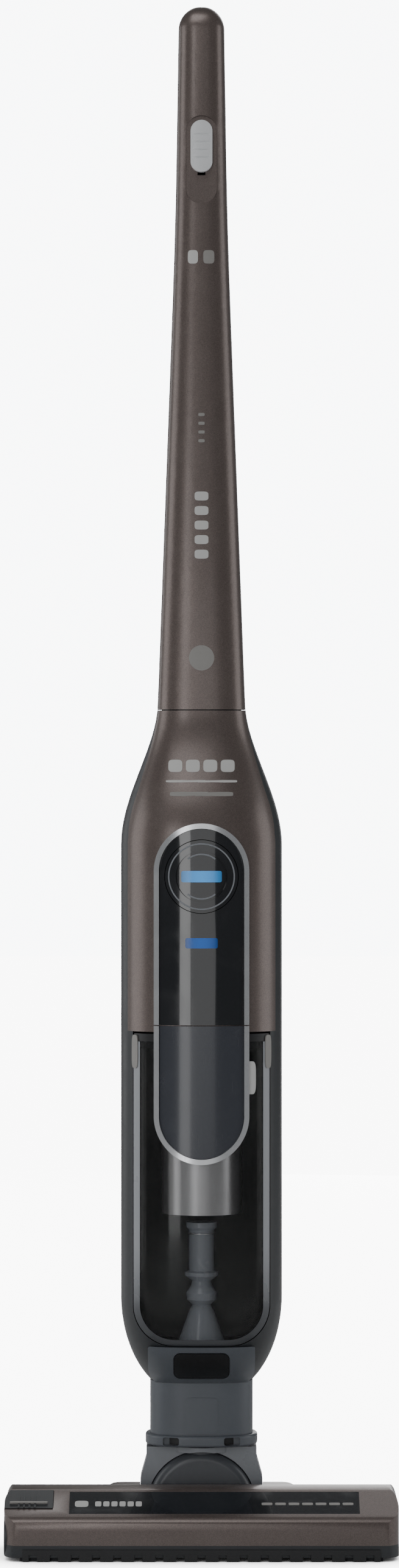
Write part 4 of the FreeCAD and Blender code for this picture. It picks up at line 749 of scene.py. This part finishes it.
# %% Beads on the button
def bead(name, centre_z, radius, start, end, thickness, body, finish, lift=0.0008):
    """A tube of circular section along an arc of the panel. Its radius is constant, with closed ends."""
    whole = end - start >= 360
    count, sides = 73, 8
    turn = np.radians(np.linspace(start, end, count))
    if whole:
        turn = turn[:-1]
    path = on_panel(radius * np.sin(turn), centre_z + radius * np.cos(turn))
    path[:, 1] -= lift
    outward = np.stack([np.sin(turn), np.zeros_like(turn), np.cos(turn)], axis=1)
    front = np.tile([0.0, -1.0, 0.0], (len(turn), 1))
    around = np.linspace(0.0, 2 * np.pi, sides, endpoint=False)
    ring = outward[:, None] * np.cos(around)[None, :, None] + front[:, None] * np.sin(around)[None, :, None]
    points = (path[:, None] + thickness * ring).reshape(-1, 3)
    faces = list(grid_faces(len(turn), sides, wrap=True))
    last = (len(turn) - 1) * sides
    index = np.arange(sides)
    following = (index + 1) % sides
    if whole:
        faces += list(np.stack([last + index, last + following, following, index], axis=1))
    else:
        faces += [index[::-1], last + index]
    return build_piece(name, points, faces, body, finish)


BUTTON_Z = 0.505
for name, radius, start, end, thickness in (("button_ring", 0.0242, 0, 360, 0.00055),
                                            ("button_arc_top", 0.0165, -38, 38, 0.0006),
                                            ("button_arc_bottom", 0.0165, 142, 218, 0.0006)):
    bead(name, BUTTON_Z, radius, start, end, thickness, "container_button", frame_grey)

# %% [markdown]
# ## Brush bristles
#
# The roller carries two helices of nylon tufts. A tuft is a bundle of fine filaments that fan out a little
# towards their tips. All filaments are computed at once: their roots and directions are arrays, and each
# filament is a thin four-sided prism that tapers.

# %% Filaments for every tuft
def build_bristles():
    """Tuft i sits at x = (i - middle) * pitch and is turned by 14 degrees per step from the middle."""
    rows, per_row, filaments, sides = 2, 27, 13, 4
    step = np.arange(per_row) - (per_row - 1) / 2.0
    x = np.tile(step * 0.009 - 0.005, rows)
    turn = np.radians(np.repeat([0.0, 180.0], per_row) + 14.0 * np.abs(np.tile(step, rows)))
    golden = np.arange(filaments) * 2.39996
    spread = np.sqrt((np.arange(filaments) + 0.5) / filaments)
    side_a, side_b = spread * np.cos(golden), spread * np.sin(golden)
    out = np.stack([np.zeros_like(turn), np.cos(turn), np.sin(turn)], axis=1)[:, None]
    along = np.array([1.0, 0.0, 0.0])[None, None]
    across = np.stack([np.zeros_like(turn), -np.sin(turn), np.cos(turn)], axis=1)[:, None]
    axis_point = np.stack([x, np.full_like(x, -0.040 + FRAME_Y), np.full_like(x, 0.0165)], axis=1)[:, None]
    offset = along * side_a[None, :, None] + across * side_b[None, :, None]
    root = axis_point + out * 0.0066 + offset * 0.0013
    tip = axis_point + out * 0.0158 + offset * 0.0026
    root, tip = root.reshape(-1, 3), tip.reshape(-1, 3)
    axis = tip - root
    axis /= np.linalg.norm(axis, axis=1, keepdims=True)
    u = np.cross(axis, [1.0, 0.0, 0.0])
    u /= np.linalg.norm(u, axis=1, keepdims=True)
    v = np.cross(axis, u)
    around = np.arange(sides) * 2 * np.pi / sides
    ring = u[:, None] * np.cos(around)[None, :, None] + v[:, None] * np.sin(around)[None, :, None]
    levels = [root[:, None] + ring * 0.00022, tip[:, None] + ring * 0.00012]
    points = np.stack(levels, axis=1)
    count = len(root)
    base = (np.arange(count) * 2 * sides)[:, None]
    index = np.arange(sides)
    walls = np.stack([index, (index + 1) % sides, (index + 1) % sides + sides, index + sides], axis=1)
    caps = np.stack([index[::-1], index + sides], axis=0)
    faces = (base[:, :, None] + np.concatenate([walls, caps])[None]).reshape(-1, 4)
    return points, faces


tuft_points, tuft_faces = build_bristles()
tufts = build_piece("bristle_tufts", tuft_points, tuft_faces, "brush", nylon, smooth=False)
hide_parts("brush_bristles")

# %% [markdown]
# ## Tyres with a tread
#
# The rear wheels have soft tyres with small cross grooves. The tyre is a profile turned about its axle: the
# radius at angle a is the profile's radius, less a groove depth wherever cos(n a) passes a threshold.

# %% Treaded tyres
def build_tyre(side, x_middle):
    """Profile: a quartic arch across the width, carried round the wheel and closed at the hub's rim."""
    wheel_r, rim_r, half_width = 0.0145, 0.0115, 0.005
    turns, grooves = 192, 24
    arch = np.linspace(-1.0, 1.0, 13)
    crown = wheel_r - 0.0012 * np.abs(arch) ** 4
    profile_x = np.concatenate([[-1.0], arch, [1.0]]) * half_width
    profile_r = np.concatenate([[rim_r], crown, [rim_r]])
    groove_here = np.concatenate([[0.0], np.ones_like(arch), [0.0]])
    angle = np.linspace(0.0, 2 * np.pi, turns, endpoint=False)
    groove = 0.0006 * (np.cos(grooves * angle) < -0.35)
    radius = profile_r[None] - groove[:, None] * groove_here[None]
    points = np.stack([np.broadcast_to(x_middle + profile_x, radius.shape),
                       0.042 + FRAME_Y + radius * np.cos(angle)[:, None],
                       0.0145 + radius * np.sin(angle)[:, None]], axis=-1)
    columns = len(profile_x)
    faces = grid_faces(turns + 1, columns, wrap=True) % (turns * columns)
    tyre = build_piece(f"{side}_tyre_tread", points, faces, f"{side}_wheel", soft_rubber)
    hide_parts(f"{side}_wheel_tyre")
    return tyre


for side, x_middle in (("left", -0.060), ("right", 0.060)):
    build_tyre(side, x_middle)

# %% [markdown]
# ## Ribs on the grip
#
# The back of the handle has a rubber pad. Low ribs across it keep it from slipping. Each rib is a long
# lens-shaped bead, bowed like a chevron, that lies on the rear surface.

# %% Grip ribs
def build_grip_ribs():
    """Rib k: z = z_k + 4 mm * (1 - (x / w)^2), height falls to zero at both ends as (1 - s^2)^0.5."""
    ribs, stations, sides = 15, 21, 8
    z0 = np.linspace(0.972, 1.100, ribs)[:, None]
    s = np.linspace(-1.0, 1.0, stations)[None]
    x = np.broadcast_to(0.0082 * s, (ribs, stations))
    z = z0 + 0.004 * (1.0 - s ** 2)
    centre = on_body(x, z, side=1.0)
    centre[..., 1] += 0.00065
    taper = 0.0011 * np.sqrt(np.clip(1.0 - s ** 2, 0.004, 1.0))
    around = np.linspace(0.0, 2 * np.pi, sides, endpoint=False)
    up = np.cos(around)[None, None] * taper[..., None]
    out = np.sin(around)[None, None] * taper[..., None] * 0.9
    points = centre[:, :, None] + np.stack([np.zeros_like(up), out, up], axis=-1)
    one = grid_faces(stations, sides, wrap=True)
    index = np.arange(sides)
    last = (stations - 1) * sides
    faces = []
    for rib in range(ribs):
        base = rib * stations * sides
        faces += list(one + base) + [index[::-1] + base, index + last + base]
    return build_piece("grip_ribs", points, faces, "upper", soft_rubber)


build_grip_ribs()

# %% [markdown]
# ## Studio
#
# The product stands on a wide pale floor under an equally pale sky, so there is no horizon. A dark product
# on white paper needs two light levels: the paper must be bright to the eye, but what the glossy parts
# mirror must stay dark, or they turn milky. So floor and sky glow, but only for direct sight. An Ambient
# Occlusion node dims the glow close to the product, which gives the contact shadow.

# %% Floor
PAPER_GLOW = 9.0


def build_floor():
    """A flat square of paper, 24 m wide, of 8 x 8 quads."""
    x, y = np.meshgrid(np.linspace(-12.0, 12.0, 9), np.linspace(-12.0, 12.0, 9))
    grid = np.stack([x, y, np.zeros_like(x)], axis=-1)
    mesh = bpy.data.meshes.new("studio_floor")
    mesh.from_pydata(grid.reshape(-1, 3).tolist(), [], grid_faces(9, 9).tolist())
    floor = bpy.data.objects.new("studio_floor", mesh)
    bpy.context.scene.collection.objects.link(floor)
    material, tree, shader = blank_material("studio paper")
    place = node(tree, "ShaderNodeTexCoord").outputs["Object"]
    mottle = node(tree, "ShaderNodeTexNoise", {"Vector": place, "Scale": 3.0})
    shade = node(tree, "ShaderNodeMapRange",
                 {"Value": mottle.outputs["Fac"], "To Min": 0.86, "To Max": 0.9})
    seen = node(tree, "ShaderNodeLightPath").outputs["Is Camera Ray"]
    tree.links.new(shade.outputs[0], shader.inputs["Base Color"])
    open_sky = node(tree, "ShaderNodeAmbientOcclusion", {"Distance": 0.07}, samples=8).outputs["AO"]
    shadow = math_node(tree, "POWER", open_sky, 2.5)
    glow = math_node(tree, "MULTIPLY", shadow, PAPER_GLOW)
    tree.links.new(math_node(tree, "MULTIPLY", seen, glow), shader.inputs["Emission Strength"])
    shader.inputs["Emission Color"].default_value = (1.0, 1.0, 1.0, 1.0)
    shader.inputs["Roughness"].default_value = 0.9
    mesh.materials.append(material)
    return floor


build_floor()
print("studio floor ready")

# %% [markdown]
# ### Lights
#
# A tall strip stands 20 degrees to the left of the camera. The bulged panel mirrors it as an upright
# band left of its middle. A wide dim light beside the camera fills the front. Two side lights stand square
# to the product: the rounded flanks mirror them as bright lines. A soft light above gives the tip and the
# slope of the floor head their shine, and three lights behind model the rear housing.

# %% Lights
def soft_light(name, place, target, size, radiance, colour=(1.0, 1.0, 1.0)):
    """A rectangular area light that faces the target. Its power is radiance * pi * area."""
    light = bpy.data.lights.new(name, "AREA")
    light.shape = "RECTANGLE"
    light.size, light.size_y = size
    light.energy = radiance * math.pi * size[0] * size[1]
    light.color = colour
    lamp = bpy.data.objects.new(name, light)
    lamp.location = place
    lamp.rotation_euler = (Vector(target) - Vector(place)).to_track_quat("-Z", "Y").to_euler()
    lamp.visible_camera = False
    bpy.context.scene.collection.objects.link(lamp)
    return lamp


soft_light("strip left", (-0.86, -2.36, 0.62), (0.0, 0.0, 0.6), (0.6, 2.6), 2.6)
soft_light("front", (0.15, -4.2, 0.75), (0.0, 0.0, 0.6), (2.2, 2.0), 0.8)
soft_light("side left", (-2.0, 0.0, 0.62), (0.0, 0.0, 0.62), (1.3, 2.4), 1.5)
soft_light("side right", (2.0, 0.0, 0.62), (0.0, 0.0, 0.62), (1.3, 2.4), 1.3)
soft_light("top", (-0.4, -0.9, 2.7), (0.0, 0.0, 0.7), (1.2, 1.2), 2.6)
soft_light("rear", (0.3, 2.2, 2.2), (0.0, 0.0, 0.6), (1.8, 1.0), 2.0)
soft_light("rear middle", (0.5, 3.2, 0.9), (0.0, 0.0, 0.6), (0.9, 2.0), 2.2)
soft_light("rear left", (-2.2, 2.4, 0.9), (0.0, 0.0, 0.6), (0.9, 2.0), 1.0)

world = bpy.data.worlds.new("pale studio")
world.use_nodes = True
background = world.node_tree.nodes["Background"]
seen = node(world.node_tree, "ShaderNodeLightPath").outputs["Is Camera Ray"]
level = node(world.node_tree, "ShaderNodeMapRange", {"Value": seen, "To Min": 0.12, "To Max": PAPER_GLOW})
world.node_tree.links.new(level.outputs[0], background.inputs["Strength"])
background.inputs["Color"].default_value = (0.96, 0.98, 1.0, 1.0)
bpy.context.scene.world = world

# %% [markdown]
# ## Camera
#
# A product like this is best seen from straight ahead, at half its height and from some distance, so that
# the tall body keeps parallel sides. The lens is chosen so that 1.18 m fills the frame's height.

# %% Camera
FRAME_HEIGHT, DISTANCE, EYE_Z = 1.177, 3.5, 0.5735
camera_data = bpy.data.cameras.new("front camera")
camera_data.sensor_fit = "VERTICAL"
camera_data.sensor_height = 24.0
camera_data.lens = 24.0 * DISTANCE / FRAME_HEIGHT
camera = bpy.data.objects.new("front camera", camera_data)
camera.location = (-0.0015, FRAME_Y - DISTANCE, EYE_Z)
camera.rotation_euler = (math.pi / 2, 0.0, 0.0)
bpy.context.scene.collection.objects.link(camera)
bpy.context.scene.camera = camera
print("lens:", round(camera_data.lens, 2), "mm")
